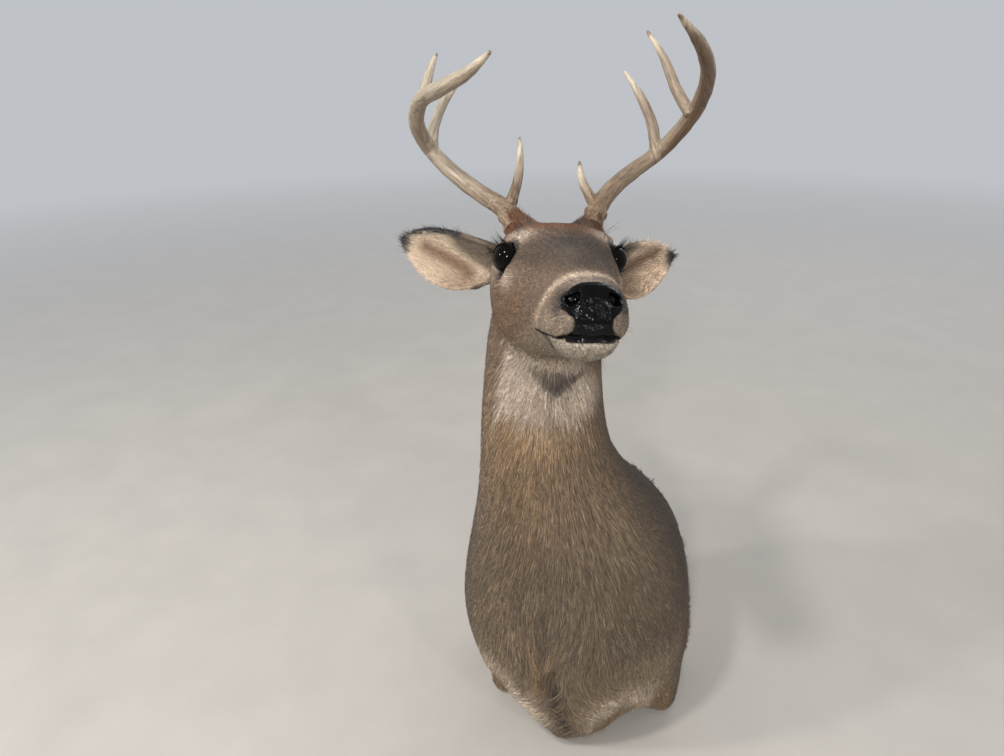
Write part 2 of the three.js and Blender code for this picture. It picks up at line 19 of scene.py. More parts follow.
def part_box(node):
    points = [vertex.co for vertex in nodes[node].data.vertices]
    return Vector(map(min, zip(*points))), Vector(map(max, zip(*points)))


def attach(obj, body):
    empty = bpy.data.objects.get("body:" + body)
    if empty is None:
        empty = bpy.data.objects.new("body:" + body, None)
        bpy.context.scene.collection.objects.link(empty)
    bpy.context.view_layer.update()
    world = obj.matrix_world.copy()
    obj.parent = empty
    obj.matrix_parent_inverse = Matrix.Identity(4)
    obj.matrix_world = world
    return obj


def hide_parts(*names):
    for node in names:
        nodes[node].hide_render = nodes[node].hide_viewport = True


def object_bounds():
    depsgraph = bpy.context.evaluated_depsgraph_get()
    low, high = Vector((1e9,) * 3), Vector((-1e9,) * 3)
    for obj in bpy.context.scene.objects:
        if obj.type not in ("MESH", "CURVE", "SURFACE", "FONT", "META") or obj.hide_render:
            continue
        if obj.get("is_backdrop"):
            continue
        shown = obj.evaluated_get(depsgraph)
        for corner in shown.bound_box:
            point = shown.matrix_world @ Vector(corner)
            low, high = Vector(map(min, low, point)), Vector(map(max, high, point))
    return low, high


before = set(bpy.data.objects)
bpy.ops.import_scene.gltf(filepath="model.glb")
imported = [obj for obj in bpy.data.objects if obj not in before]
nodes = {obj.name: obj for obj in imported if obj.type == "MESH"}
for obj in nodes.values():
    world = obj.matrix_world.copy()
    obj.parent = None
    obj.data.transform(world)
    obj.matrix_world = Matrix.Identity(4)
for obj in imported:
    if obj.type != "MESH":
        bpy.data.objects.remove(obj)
cad_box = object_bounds()
MM = 0.001


def vec(x, y, z):
    return np.array([x, y, z], float)


# ---- the two frames

# the head's place and turns in the mount's frame, and the left eye's place in the head's
HEAD_PLACE = vec(-34.0, 29.0, 564.0)
HEAD_YAW, HEAD_NOSE_UP, HEAD_TILT = 27.0, 17.4, 4.0
EYE = vec(53.0, -3.0, 0.0)
EYE_RADIUS = 15.5
SIDES = ((1, "left"), (-1, "right"))


def turn_about(axis, degrees):
    return np.array(Matrix.Rotation(math.radians(degrees), 3, axis))


HEAD_AXES = turn_about("Z", HEAD_YAW) @ turn_about("X", -HEAD_NOSE_UP) @ turn_about("Y", HEAD_TILT)


def box_centre(node):
    low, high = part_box(node)
    return (np.array(low) + np.array(high)) / 2 / MM


# how far the mount's origin lies from the point under the middle of its bounding box
EYES_MIDDLE = (box_centre("eye_left") + box_centre("eye_right")) / 2
SHIFT = EYES_MIDDLE - (HEAD_PLACE + HEAD_AXES @ vec(0.0, EYE[1], 0.0))
HEAD_ORIGIN = SHIFT + HEAD_PLACE


def to_head(points):
    return (points - HEAD_ORIGIN) @ HEAD_AXES


def from_head(points):
    return points @ HEAD_AXES.T + HEAD_ORIGIN


def on_side(points, side):
    """Head-frame places moved to one side of the head and into the frame of the CAD."""
    return from_head(points * vec(side, 1.0, 1.0))


# ---- camera

CAMERA_PLACE = vec(189.7, -689.9, 765.0)
CAMERA_YAW, CAMERA_DOWN, CAMERA_ROLL = 22.0, 23.85, 1.36
# the focal length and the photo's width in pixels, and the sensor's width
FOCAL_PIXELS, FRAME_PIXELS, SENSOR = 755.0, 1004.0, 36.0
NEAREST_SEEN = 0.01


def add_camera():
    yaw, down, roll = (math.radians(a) for a in (CAMERA_YAW, CAMERA_DOWN, CAMERA_ROLL))
    right = np.array([math.cos(yaw), math.sin(yaw), 0])
    ahead = np.array([-math.sin(yaw) * math.cos(down), math.cos(yaw) * math.cos(down), -math.sin(down)])
    below = np.cross(ahead, right)
    data = bpy.data.cameras.new("camera")
    data.sensor_fit = "HORIZONTAL"
    data.sensor_width = SENSOR
    data.lens = FOCAL_PIXELS / FRAME_PIXELS * SENSOR
    data.clip_start = NEAREST_SEEN
    camera = bpy.data.objects.new("camera", data)
    place = np.eye(4)
    place[:3, 0] = math.cos(roll) * right + math.sin(roll) * below
    place[:3, 1] = math.sin(roll) * right - math.cos(roll) * below
    place[:3, 2] = -ahead
    place[:3, 3] = (CAMERA_PLACE + SHIFT) * MM
    camera.matrix_world = Matrix(place.tolist())
    bpy.context.scene.collection.objects.link(camera)
    bpy.context.scene.camera = camera


add_camera()

# ---- small tools


def ramp(low, high, value):
    """From 0 at `low` to 1 at `high`, with soft ends."""
    t = np.clip((value - low) / (high - low), 0, 1)
    return t * t * (3 - 2 * t)


def blend(a, b, share):
    share = np.asarray(share)[..., None]
    return a * (1 - share) + b * share


def unit(vectors):
    return vectors / (norm(vectors, axis=-1, keepdims=True) + 1e-12)


def hump(value, width=1.0):
    """1 at zero, falling off smoothly over `width` each way."""
    return np.exp(-((value / width) ** 2))


def columns(*values):
    """Arrays of one length side by side, as the columns of a table."""
    return np.stack(values, axis=1)


def bell(points, at, spread):
    """1 at a place, falling off smoothly over a distance each way."""
    return np.exp(-(((points - np.array(at)) / np.array(spread)) ** 2).sum(axis=1))


def side_of(local):
    return np.where(local[:, 0] < 0, -1.0, 1.0)


def mirrored(points):
    """The same points with both sides of the head folded onto its left."""
    folded = points.copy()
    folded[:, 0] = np.abs(folded[:, 0])
    return folded


def new_piece(name, points, faces):
    """A smooth mesh object riding on the root, from points in millimetres and faces of one size."""
    mesh = bpy.data.meshes.new(name)
    count, sides = faces.shape
    mesh.vertices.add(len(points))
    mesh.vertices.foreach_set("co", (points * MM).astype(np.float32).ravel())
    mesh.loops.add(count * sides)
    mesh.loops.foreach_set("vertex_index", faces.astype(np.int32).ravel())
    mesh.polygons.add(count)
    mesh.polygons.foreach_set("loop_start", np.arange(0, count * sides, sides, dtype=np.int32))
    mesh.update(calc_edges=True)
    mesh.polygons.foreach_set("use_smooth", np.ones(count, bool))
    piece = bpy.data.objects.new(name, mesh)
    bpy.context.scene.collection.objects.link(piece)
    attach(piece, "root")
    return piece


def read(items, field, sides, kind=np.int32):
    values = np.empty(len(items) * sides, kind)
    items.foreach_get(field, values)
    return values.reshape(-1, sides)


def read_points(mesh):
    return read(mesh.vertices, "co", 3, np.float32).astype(float) / MM


def read_triangles(mesh):
    mesh.calc_loop_triangles()
    return read(mesh.loop_triangles, "vertices", 3)


def read_edges(mesh):
    return read(mesh.edges, "vertices", 2)


def write_points(piece, points):
    piece.data.vertices.foreach_set("co", (points * MM).astype(np.float32).ravel())
    piece.data.update()


def write_colours(mesh, colours):
    layer = mesh.color_attributes.new("marking", "FLOAT_COLOR", "POINT")
    values = np.ones((len(mesh.vertices), 4), np.float32)
    values[:, :3] = colours
    layer.data.foreach_set("color", values.ravel())


def write_vectors(mesh, vectors, name):
    layer = mesh.attributes.new(name, "FLOAT_VECTOR", "POINT")
    layer.data.foreach_set("vector", vectors.astype(np.float32).ravel())


def vertex_normals(points, triangles):
    a, b, c = (points[triangles[:, i]] for i in range(3))
    across = np.cross(b - a, c - a)
    total = np.zeros_like(points)
    for i in range(3):
        for k in range(3):
            total[:, k] += np.bincount(triangles[:, i], across[:, k], len(points))
    return unit(total)


def smoothed(values, edges, rounds, share, opposite=0.0):
    """Each value moved towards the mean of its neighbours; `opposite` pushes back against shrinking."""
    count = len(values)
    around = np.bincount(edges.ravel(), minlength=count)[:, None]
    share = np.broadcast_to(np.asarray(share, float), (count,))[:, None]
    steps = [1.0, -opposite] if opposite else [1.0]
    for _ in range(rounds):
        for step in steps:
            total = np.zeros_like(values)
            for k in range(values.shape[1]):
                total[:, k] = np.bincount(edges[:, 0], values[edges[:, 1], k], count)
                total[:, k] += np.bincount(edges[:, 1], values[edges[:, 0], k], count)
            values = values + step * share * (total / around - values)
    return values


def evaluated(piece):
    return piece.evaluated_get(bpy.context.evaluated_depsgraph_get())


def reshaped(piece, kind, **settings):
    """Leaves the piece with the mesh that one modifier makes of it."""
    step = piece.modifiers.new("step", kind)
    for key, value in settings.items():
        setattr(step, key, value)
    made = bpy.data.meshes.new_from_object(evaluated(piece))
    piece.modifiers.clear()
    old = piece.data
    piece.data = made
    bpy.data.meshes.remove(old)
    made.name = piece.name
    made.materials.clear()


WELD_GAP = 0.001


def fused(name, parts, voxel, swell=0.3):
    """One closed mesh over several CAD nodes, each swollen a little so that their gaps close."""
    points, triangles, start = [], [], 0
    for part in parts:
        mesh = nodes[part].data.copy()
        shell = bpy.data.objects.new("shell", mesh)
        shell.modifiers.new("weld", "WELD").merge_threshold = WELD_GAP * MM
        bpy.context.scene.collection.objects.link(shell)
        welded = evaluated(shell).to_mesh()
        spots = read_points(welded)
        corners = read_triangles(welded)
        points.append(spots + swell * vertex_normals(spots, corners))
        triangles.append(corners + start)
        start += len(spots)
        shell.to_mesh_clear()
        bpy.data.objects.remove(shell)
        bpy.data.meshes.remove(mesh)
    piece = new_piece(name, np.concatenate(points), np.concatenate(triangles))
    reshaped(piece, "REMESH", mode="VOXEL", voxel_size=voxel * MM)
    return piece


def distance_to_line(points, line):
    """How far each point is from a line through a few places."""
    nearest = np.full(len(points), np.inf)
    for start, end in zip(np.array(line[:-1], float), np.array(line[1:], float)):
        span = end - start
        along = np.clip((points - start) @ span / (span @ span), 0, 1)
        gap = norm(points - start - along[:, None] * span, axis=1)
        nearest = np.minimum(nearest, gap)
    return nearest


def near_line(points, line, reach):
    return hump(distance_to_line(points, line), reach)


def ripple(points, length, seed, waves=9):
    """A smooth random value round 0 that changes over about `length` millimetres."""
    source = np.random.default_rng(seed)
    aims = unit(source.normal(size=(waves, 3))) * source.uniform(0.6, 1.6, (waves, 1))
    starts = source.uniform(0, math.tau, waves)
    return np.sin(points @ aims.T * (math.tau / length) + starts).mean(axis=1) * 1.8


def band(low, high, sides):
    """The triangles between two rings of corners that start at `low` and `high`."""
    here = np.arange(sides)
    then = (here + 1) % sides
    return [columns(low + here, high + here, low + then),
            columns(low + then, high + here, high + then)]


def strands(paths, radii, sides=3):
    """Closed tapering tubes, one along each path; paths are (many, steps, 3), radii (many, steps)."""
    many, steps, _ = paths.shape
    ahead = unit(np.gradient(paths, axis=1))
    guide = np.where(np.abs(ahead[..., 2:3]) > 0.9, [1.0, 0.0, 0.0], [0.0, 0.0, 1.0])
    across = unit(np.cross(ahead, guide))
    above = np.cross(across, ahead)
    turns = np.arange(sides) * math.tau / sides
    ring = across[:, :, None] * np.cos(turns)[:, None] + above[:, :, None] * np.sin(turns)[:, None]
    points = paths[:, :, None] + ring * radii[:, :, None, None]
    faces = []
    for step in range(steps - 1):
        faces += band(step * sides, (step + 1) * sides, sides)
    last = (steps - 1) * sides
    for side in range(1, sides - 1):
        faces.append(np.array([[0, side, side + 1]]))
        faces.append(np.array([[last, last + side + 1, last + side]]))
    one = np.concatenate(faces)
    starts = np.arange(many)[:, None, None] * steps * sides
    return points.reshape(-1, 3), (one[None] + starts).reshape(-1, 3)


def tone(red, green, blue):
    """The linear colour of a tone as it is seen on a screen."""
    seen = np.array([red, green, blue])
    return np.where(seen < 0.04, seen / 12.9, ((seen + 0.055) / 1.055) ** 2.4)


# ---- where things lie

# in the head's frame: the plane behind the skull, an ear's root, tip and open side, the mouth,
# and how far back the nose reaches
NAPE_POINT = vec(0.0, 92.0, 0.0)
NAPE_FACING = vec(0.0, -0.763, 0.646)
HEAD_REACH = 260.0
EAR_ROOT = vec(50.0, 66.0, -6.0)
EAR_TIP = vec(166.0, 154.0, 20.0)
EAR_ALONG = (EAR_TIP - EAR_ROOT) / norm(EAR_TIP - EAR_ROOT)
EAR_LIP = vec(0.34, -0.9, -0.05)
EAR_OPEN = unit(EAR_LIP - (EAR_LIP @ EAR_ALONG) * EAR_ALONG)
EAR_ACROSS = np.cross(EAR_OPEN, EAR_ALONG)
MOUTH = [(36, -88, -69), (34, -120, -71), (31, -138, -72), (20, -172, -70), (0, -178, -72)]
NOSE_BACK = -150

# in the mount's frame: the cut at the board, and where the hair parts and meets on the brisket
HEM_FOOT_Y, HEM_LEAN = 105.0, math.radians(18)
PARTING = [(-14, -97, 215), (-12, -104, 181), (-9, -110, 156)]
MIDLINE = [(0, -111, 136), (9, -109, 113), (7, -102, 78), (14, -79, 32)]
SWIRL = vec(-7.0, -110.0, 144.0)


def before_nape(local):
    return (local - NAPE_POINT) @ NAPE_FACING


def head_share(points):
    local = to_head(points)
    return ramp(-15, 15, before_nape(local)) * (norm(local, axis=1) < HEAD_REACH)


def throat_share(points):
    """1 along the crease where the jaw and the cheeks run into the neck."""
    local = to_head(points)
    return hump(before_nape(local) - 4, 30) * ramp(10, -35, local[:, 2])


def ear_place(points):
    """How far along an ear, across it and out of its open side each point lies."""
    from_root = mirrored(to_head(points)) - EAR_ROOT
    return from_root @ EAR_ALONG, from_root @ EAR_ACROSS, from_root @ EAR_OPEN


def ear_share(points):
    along, across, out = ear_place(points)
    around = 1 - ramp(60, 72, np.hypot(across, out))
    return ramp(12, 34, along) * around * ramp(54, 66, np.abs(to_head(points)[:, 0]))


def hem_depth(points):
    """How far each point lies in front of the plane where the hide is tacked to the board."""
    y = points[:, 1] - SHIFT[1]
    return (HEM_FOOT_Y + points[:, 2] * math.tan(HEM_LEAN) - y) * math.cos(HEM_LEAN)


# ---- eyes: where the lids lie

# the way the opening looks, its half width and height (shares of the ball's radius), the lids'
# gap to the ball, where the skin hidden inside the ball lies (a share too), and how far lids reach
LID_OUT = unit(vec(0.72, -0.68, 0.06))
LID_UP = unit(vec(0.0, 0.0, 1.0) - LID_OUT * LID_OUT[2])
LID_FRONT = np.cross(LID_OUT, LID_UP)
OPEN_WIDE, OPEN_HIGH = 0.88, 0.80
LID_GAP, LID_SUNK = 0.8, 0.86
LID_REACH = EYE_RADIUS + 9


def lid_place(folded):
    """How far out of the opening's middle each point lies (1 at the lid's edge), and from the eye."""
    from_eye = folded - EYE
    far = norm(from_eye, axis=1)
    aim = from_eye / far[:, None]
    out = np.hypot(aim @ LID_FRONT / OPEN_WIDE, aim @ LID_UP / OPEN_HIGH)
    return np.where(aim @ LID_OUT > 0, out, 9.0), far, aim


def lid_edge(angles, radius):
    """Places on the lid's edge: angle 0 is the front corner, a quarter turn the top."""
    front = np.cos(angles) * OPEN_WIDE
    up = np.sin(angles) * OPEN_HIGH
    out = np.sqrt(1 - front**2 - up**2)
    aim = front[:, None] * LID_FRONT + up[:, None] * LID_UP + out[:, None] * LID_OUT
    return EYE + aim * radius


# ---- skin: one closed shape

FLESH = ["trunk", "neck", "head", "lower_jaw", "leg_stub_left", "leg_stub_right",
         "ear_left", "ear_right"]
SKIN_VOXEL = 1.6
SKIN_THINNED = 0.45
BODY_ROUNDS, THROAT_ROUNDS = ((60, 110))
# how far the skin lies inside the CAD, whose outline is that of the hair's tips
BODY_INSET, HEAD_INSET, EAR_INSET, HEM_INSET = 4.5, 1.4, 0.7, 1.0
# how high the lowest skin lies above the floor
LOWEST = 0.6

# swellings (+) and hollows (-) of the head: place, reach each way, height
HEAD_SHAPES = [
    ((44, -22, -3), (5, 7, 6), -2.2),
    ((52, -20, -26), (9, 12, 6), 1.2),
    ((40, -40, -36), (8, 22, 6), 1.0),
    ((54, 18, -52), (12, 22, 20), 1.6),
    ((50, -4, 24), (12, 12, 6), 1.0),
    ((27, -112, -30), (7, 22, 12), -1.6),
    ((0, -60, 14), (6, 30, 8), -0.8),
    ((31, -158, -62), (8, 12, 8), 1.4),
    ((20, -160, -84), (12, 14, 8), 1.0),
]
BRISKET_LOBE = ((36, -72, 40), (18, 20, 16), 3.0)
MOUTH_DEPTH, MOUTH_HALF = 2.6, 1.8
FURROW_DEPTH = 3.2

NOSTRIL = vec(19.0, -179.0, -40.0)
NOSTRIL_INWARD = unit(vec(-0.35, 1.0, 0.12))
NOSTRIL_WIDE, NOSTRIL_HIGH, NOSTRIL_DEPTH = 8.0, 4.8, 9.0
PHILTRUM = [(0, -184, -46), (0, -184, -60), (0, -182, -74)]


def shaped_skin(points, triangles, edges):
    on_head, on_ear = head_share(points), ear_share(points)
    hem = 1 - ramp(2, 10, hem_depth(points))
    on_body = (1 - on_head) * (1 - on_ear)
    points = smoothed(points, edges, BODY_ROUNDS, 0.6 * on_body * (1 - 0.85 * hem))
    points = smoothed(points, edges, 12, 0.5 * on_head * (1 - on_ear), 1.03)
    points = smoothed(points, edges, 4, 0.5 * on_ear)
    points = smoothed(points, edges, THROAT_ROUNDS, 0.6 * throat_share(points) * (1 - on_ear))
    normals = vertex_normals(points, triangles)
    inset = BODY_INSET * on_body + HEAD_INSET * on_head * (1 - on_ear) + EAR_INSET * on_ear
    inset += (HEM_INSET - inset) * hem
    points = points - inset[:, None] * normals
    folded = mirrored(to_head(points))
    rise = -MOUTH_DEPTH * near_line(folded, MOUTH, MOUTH_HALF)
    rise -= 1.4 * NOSTRIL_DEPTH * bell(folded, NOSTRIL, (9, 12, 8))
    for place, reach, height in HEAD_SHAPES:
        rise += height * bell(folded, place, reach)
    rise = rise * on_head * (1 - on_ear)
    place = points - SHIFT
    rise -= FURROW_DEPTH * near_line(place, MIDLINE, 5.5)
    rise -= 0.5 * FURROW_DEPTH * near_line(place, PARTING, 4.0)
    at, reach, height = BRISKET_LOBE
    rise += height * bell(place, at, reach)
    points = points + rise[:, None] * normals
    return open_lids(points, on_head)


def open_lids(points, on_head):
    """Sinks the skin inside the eye's opening and keeps it just outside the ball elsewhere."""
    local = to_head(points)
    out, far, aim = lid_place(mirrored(local))
    around = (far < LID_REACH) & (on_head > 0.5)
    lid = EYE_RADIUS + LID_GAP + 1.0 * hump(out - 1.12, 0.1)
    wanted = np.where(out < 1.0, EYE_RADIUS * LID_SUNK, np.maximum(far, lid))
    placed = EYE + aim * np.where(around, wanted, far)[:, None]
    placed[:, 0] *= side_of(local)
    moved = np.where(around[:, None], from_head(placed), points)
    moved[:, 2] = np.maximum(moved[:, 2], LOWEST)
    return moved


skin = fused("skin", FLESH + ["nose_pad"], SKIN_VOXEL)
skin_triangles = read_triangles(skin.data)
write_points(skin, shaped_skin(read_points(skin.data), skin_triangles, read_edges(skin.data)))
reshaped(skin, "DECIMATE", ratio=SKIN_THINNED)
skin_points, skin_triangles = read_points(skin.data), read_triangles(skin.data)
skin_normals = vertex_normals(skin_points, skin_triangles)
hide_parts(*FLESH)

# ---- nose, a bare black pad

NOSE_VOXEL = 0.8


def shaped_nose(points, triangles, edges):
    """The pad with its nostrils, and the same pad without them."""
    points = smoothed(points, edges, 5, 0.5, 1.03)
    local = to_head(points)
    folded = mirrored(local)
    from_nostril = folded - NOSTRIL
    # the slit curls up and outwards, so its two axes lean
    wide = from_nostril @ unit(vec(0.8, 0.25, -0.35))
    high = from_nostril @ unit(vec(0.35, 0.1, 0.9))
    high = high - 0.06 * wide**2 + 0.6
    ring = np.hypot(wide / NOSTRIL_WIDE, high / NOSTRIL_HIGH)
    hollow = 1 - ramp(0.35, 1.0, ring)
    rise = 0.8 * hump(ring - 1.25, 0.25) * ramp(-7, 3, wide) * (hollow < 0.02)
    rise -= 1.5 * near_line(folded, PHILTRUM, 1.6)
    rise += 0.12 * ripple(points, 6.5, 31) + 0.05 * ripple(points, 2.8, 32)
    # the pad narrows towards the lip, under the hair of the upper lip
    narrow = folded[:, 0] - (24.5 - 9 * ramp(-46, -58, folded[:, 2]))
    back = 7 * ramp(-1.5, 1.5, narrow) + 1.6 * ramp(-56, -63, folded[:, 2])
    closed = mirrored(to_head(points + rise[:, None] * vertex_normals(points, triangles)))
    closed[:, 1] += back
    opened = closed + (NOSTRIL_DEPTH * hollow)[:, None] * NOSTRIL_INWARD
    side = side_of(local)
    closed[:, 0] *= side
    opened[:, 0] *= side
    return from_head(opened), from_head(closed)


nose = fused("nose_leather", ["nose_pad"], NOSE_VOXEL, swell=0.0)
nose_triangles = read_triangles(nose.data)
# all the skin behind the pad without nostrils is bare
nose_points, nose_front = shaped_nose(read_points(nose.data), nose_triangles, read_edges(nose.data))
write_points(nose, nose_points)
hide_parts("nose_pad")

# ---- eyes, lids and lashes


def ball(centre, radius, pole, rings, sides):
    """A closed sphere whose first pole looks along `pole`."""
    across = unit(np.cross(pole, [0.0, 0.0, 1.0]))
    above = np.cross(across, pole)
    down = np.linspace(0, math.pi, rings + 1)[1:-1]
    turns = np.arange(sides) * math.tau / sides
    flat = np.cos(turns)[:, None] * across + np.sin(turns)[:, None] * above
    aims = np.cos(down)[:, None, None] * pole + np.sin(down)[:, None, None] * flat
    points = np.concatenate([[pole], aims.reshape(-1, 3), [-pole]]) * radius + centre
    here = np.arange(sides)
    then = (here + 1) % sides
    faces = [columns(np.zeros(sides, int), 1 + here, 1 + then)]
    for ring in range(rings - 2):
        faces += band(1 + ring * sides, 1 + (ring + 1) * sides, sides)
    last = 1 + (rings - 2) * sides
    end = np.full(sides, len(points) - 1)
    faces.append(columns(last + here, end, last + then))
    return points, np.concatenate(faces)


def sided_piece(name, points, faces, side, label):
    """A piece given for the head's left, made on one side."""
    return new_piece(name + label, on_side(points, side), faces if side > 0 else faces[:, ::-1])


LASH_COUNT, LASH_LENGTH, LASH_RADIUS = 52, 12.0, 0.24
LASH_STEPS = np.linspace(0, 1, 5)
# how far outside the eye the rim and the lashes' roots lie
RIM_OUT, LASH_OUT = 0.55, 1.6
RIM_CORNERS = 61
eyes, lid_rims, lashes = [], [], []
hair_rng = np.random.default_rng(7)
for side, label in SIDES:
    places, faces = ball(EYE, EYE_RADIUS, LID_OUT, 32, 48)
    eye = sided_piece("glass_eye_", places, faces, side, label)
    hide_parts("eye_" + label)
    eyes.append(eye)

    # a bare black rim, thickest at the upper lid and at the front corner
    angles = np.linspace(0, math.tau, RIM_CORNERS)
    path = lid_edge(angles, EYE_RADIUS + RIM_OUT)
    upper = ramp(-0.2, 0.9, np.sin(angles))
    corner = hump(np.minimum(angles, math.tau - angles), 0.35)
    rim_radius = 0.45 + 0.45 * upper + 0.25 * corner
    rim_points, rim_faces = strands(path[None], rim_radius[None], sides=8)
    rim = sided_piece("lid_rim_", rim_points, rim_faces, side, label)
    lid_rims.append(rim)

    at = hair_rng.uniform(0.34, 1.04, LASH_COUNT) * math.pi
    roots = lid_edge(at, EYE_RADIUS + LASH_OUT)
    aim = unit(unit(roots - EYE) - 1.15 * LID_FRONT + hair_rng.normal(0, 0.13, (LASH_COUNT, 3)))
    reach = LASH_LENGTH * hair_rng.uniform(0.55, 1.05, LASH_COUNT) * (0.75 + 0.35 * np.sin(at))
    curl = LID_UP * 0.35
    steps = LASH_STEPS[None, :, None]
    paths = roots[:, None] + reach[:, None, None] * (aim[:, None] * steps + curl * steps**2)
    sizes = np.broadcast_to(LASH_RADIUS * (1.05 - LASH_STEPS), paths.shape[:2])
    lash = sided_piece("lashes_", *strands(paths, sizes), side, label)
    lashes.append(lash)


# ---- colours laid over one another

CREAM = tone(0.66, 0.59, 0.52)
STRAW = tone(0.62, 0.54, 0.44)
RUST = tone(0.53, 0.40, 0.29)
GOLD = tone(0.60, 0.50, 0.38)
DARK = tone(0.22, 0.19, 0.175)
BLACK = tone(0.045, 0.04, 0.04)
EAR_RIM = tone(0.12, 0.10, 0.09)


def plain(count, red, green, blue):
    return np.tile(tone(red, green, blue), (count, 1))


def near(points, at, reach):
    """1 at a place, or along a line of places, falling off smoothly over a reach."""
    return bell(points, at, reach) if isinstance(reach, tuple) else near_line(points, at, reach)


def painted(points, colour, layers):
    """Colours under layers of paint: each a tone or colour, how well it covers, and perhaps where."""
    for paint, share, *where in layers:
        if where:
            share = np.minimum(1, share * near(points, *where))
        colour = blend(colour, tone(*paint) if isinstance(paint, tuple) else paint, share)
    return colour


# ---- antlers

ANTLER_VOXEL = 1.3
# the left antler's foot, how far polish reaches from a tip, and how lengths shrink for the grain
BURR = vec(41.0, 47.0, 50.0)
TIP_REACH = 46.0
GRAIN_SQUEEZE = vec(0.09, 1.0, 1.0)
# painted shade, partly brown: how much each beam is darkened, and how dark its downward side is painted
BEAM_SHADE_AND_BROWN = {"left": 0.6, "right": 0.0}
UNDER_SHADE_AND_STAIN = {"left": 1.0, "right": 0.5}


def antler_grain(points, edges, parts):
    """A place on the antler with its length shortened, so that noise runs out along beam and tines."""
    nearest = np.full(len(points), np.inf)
    grain = np.zeros_like(points)
    for part in parts:
        corners = read_points(nodes[part].data)
        middle = corners.mean(axis=0)
        axes = svd(corners - middle, full_matrices=False)[2]
        own = (points - middle) @ axes.T
        reach = np.abs((corners - middle) @ axes.T).max(axis=0)
        outside = norm(np.maximum(np.abs(own) - reach, 0), axis=1)
        gap = outside + 0.02 * norm(points - middle, axis=1)
        closer = gap < nearest
        nearest[closer] = gap[closer]
        grain[closer] = (own * GRAIN_SQUEEZE)[closer]
    return smoothed(grain, edges, 20, 0.6)


def tine_tips(parts, burr):
    tips = []
    for part in parts:
        if "tine" in part or "tip" in part:
            corners = read_points(nodes[part].data)
            tips.append(corners[np.argmax(norm(corners - burr, axis=1))])
    return np.array(tips)


antlers = []
for side, label in SIDES:
    parts = sorted(name for name in nodes if name.startswith("antler_" + label))
    antler = fused("antler_" + label, parts, ANTLER_VOXEL, swell=0.35)
    places, faces = read_points(antler.data), read_triangles(antler.data)
    edges = read_edges(antler.data)
    places = smoothed(places, edges, 8, 0.5, 1.02)
    burr = on_side(BURR, side)
    to_tip = norm(places[:, None] - tine_tips(parts, burr)[None], axis=2).min(axis=1)
    polish = 1 - ramp(0.25 * TIP_REACH, TIP_REACH, to_tip)
    from_burr = norm(places - burr, axis=1)
    grain = antler_grain(places, edges, parts)
    low = hump(from_burr, 20)
    warts = ripple(places, 6.5, 41)
    ridges = 0.6 * ripple(grain, 4.6, 42) + 0.5 * ripple(grain, 2.2, 45)
    rough = 0.7 * low * warts
    rough += (0.14 + 0.55 * np.exp(-from_burr / 70)) * ridges * (1 - polish)
    rough += 0.25 * ripple(places, 22, 43)
    normals = vertex_normals(places, faces)
    write_points(antler, places + rough[:, None] * normals)
    smudge = ramp(12, 4, to_tip) * ramp(-0.1, 0.4, ripple(places, 9, 44))
    # painted shade, partly brown stain: the downward-facing side of each beam, less near the tips
    under = ramp(0.1, -0.7, normals[:, 2]) * (1 - 0.6 * polish)
    lower_half = hump(from_burr, 130)
    write_colours(antler.data, painted(places, plain(len(places), 0.69, 0.63, 0.55), [
        ((0.475, 0.385, 0.29), 0.85 * hump(from_burr, 85)),
        # painted shade, partly the beam's own browner tone: the buck's left beam, on the shaded side, is
        # darkened
        ((0.50, 0.41, 0.32), BEAM_SHADE_AND_BROWN[label] * (1 - polish)),
        ((0.33, 0.235, 0.16), 0.6 * (ramp(0.0, -0.6, ridges) * lower_half)),
        ((0.72, 0.66, 0.58), 0.32 * (ramp(0.25, 0.8, ridges) * lower_half)),
        ((0.45, 0.33, 0.23), 0.6 * low * ramp(0.2, -0.5, warts)),
        ((0.80, 0.735, 0.64), 0.8 * polish),
        ((0.36, 0.26, 0.18), 0.75 * smudge),
        # painted shade under the beam, partly brown stain
        ((0.42, 0.33, 0.25), UNDER_SHADE_AND_STAIN[label] * under),
    ]))
    write_vectors(antler.data, grain * MM, "grain")
    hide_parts(*parts)
    antlers.append(antler)


# ---- markings, on skin and coat alike

# hairs shade one another, so each is paler than the coat they make
COAT_GAIN = vec(1.9, 1.86, 1.76)
# painted light: the inside of the buck's left ear is made paler than the right's
LEFT_EAR_PAINTED_LIGHT = 1.3

# lines in the head's frame (one side) and in the mount's
MUZZLE_BAND = [(37, -92, -68), (38, -108, -56), (36, -127, -44), (30, -141, -31), (19, -149, -22),
               (6, -153, -19), (0, -153, -19)]
EYE_STREAK = [(43, -19, 0), (39, -26, -12)]
EYE_SLIT = [(46, -15, 6), (45, -17, -4), (44, -20, -12)]
EYE_TOP = [(44, -14, 6), (47, -12, 13), (55, -9, 18)]
CHIN_NOTCH = [(31, -123, -73), (28, -132, -77), (24, -123, -82)]
LEFT_EDGE = [(98, -14, 44), (92, -34, 78), (79, -62, 94), (56, -80, 92), (44, -78, 70), (40, -66, 40)]
RIGHT_EDGE = [(-98, -60, 96), (-72, -96, 128), (-44, -107, 120), (-24, -109, 100), (-12, -96, 66)]
# where painted shade lies in the ear's hollow, along and across the ear
EAR_HOLLOW_SHADE = [(112, 2, 0), (98, -3, 0), (82, -7, 0), (66, -12, 0), (52, -18, 0)]
# the painted shadow under the jaw, a wedge seen from the front: x and z of its corners
THROAT_SHADOW_WEDGE = [(-58, 465), (-24, 433), (0, 452)]


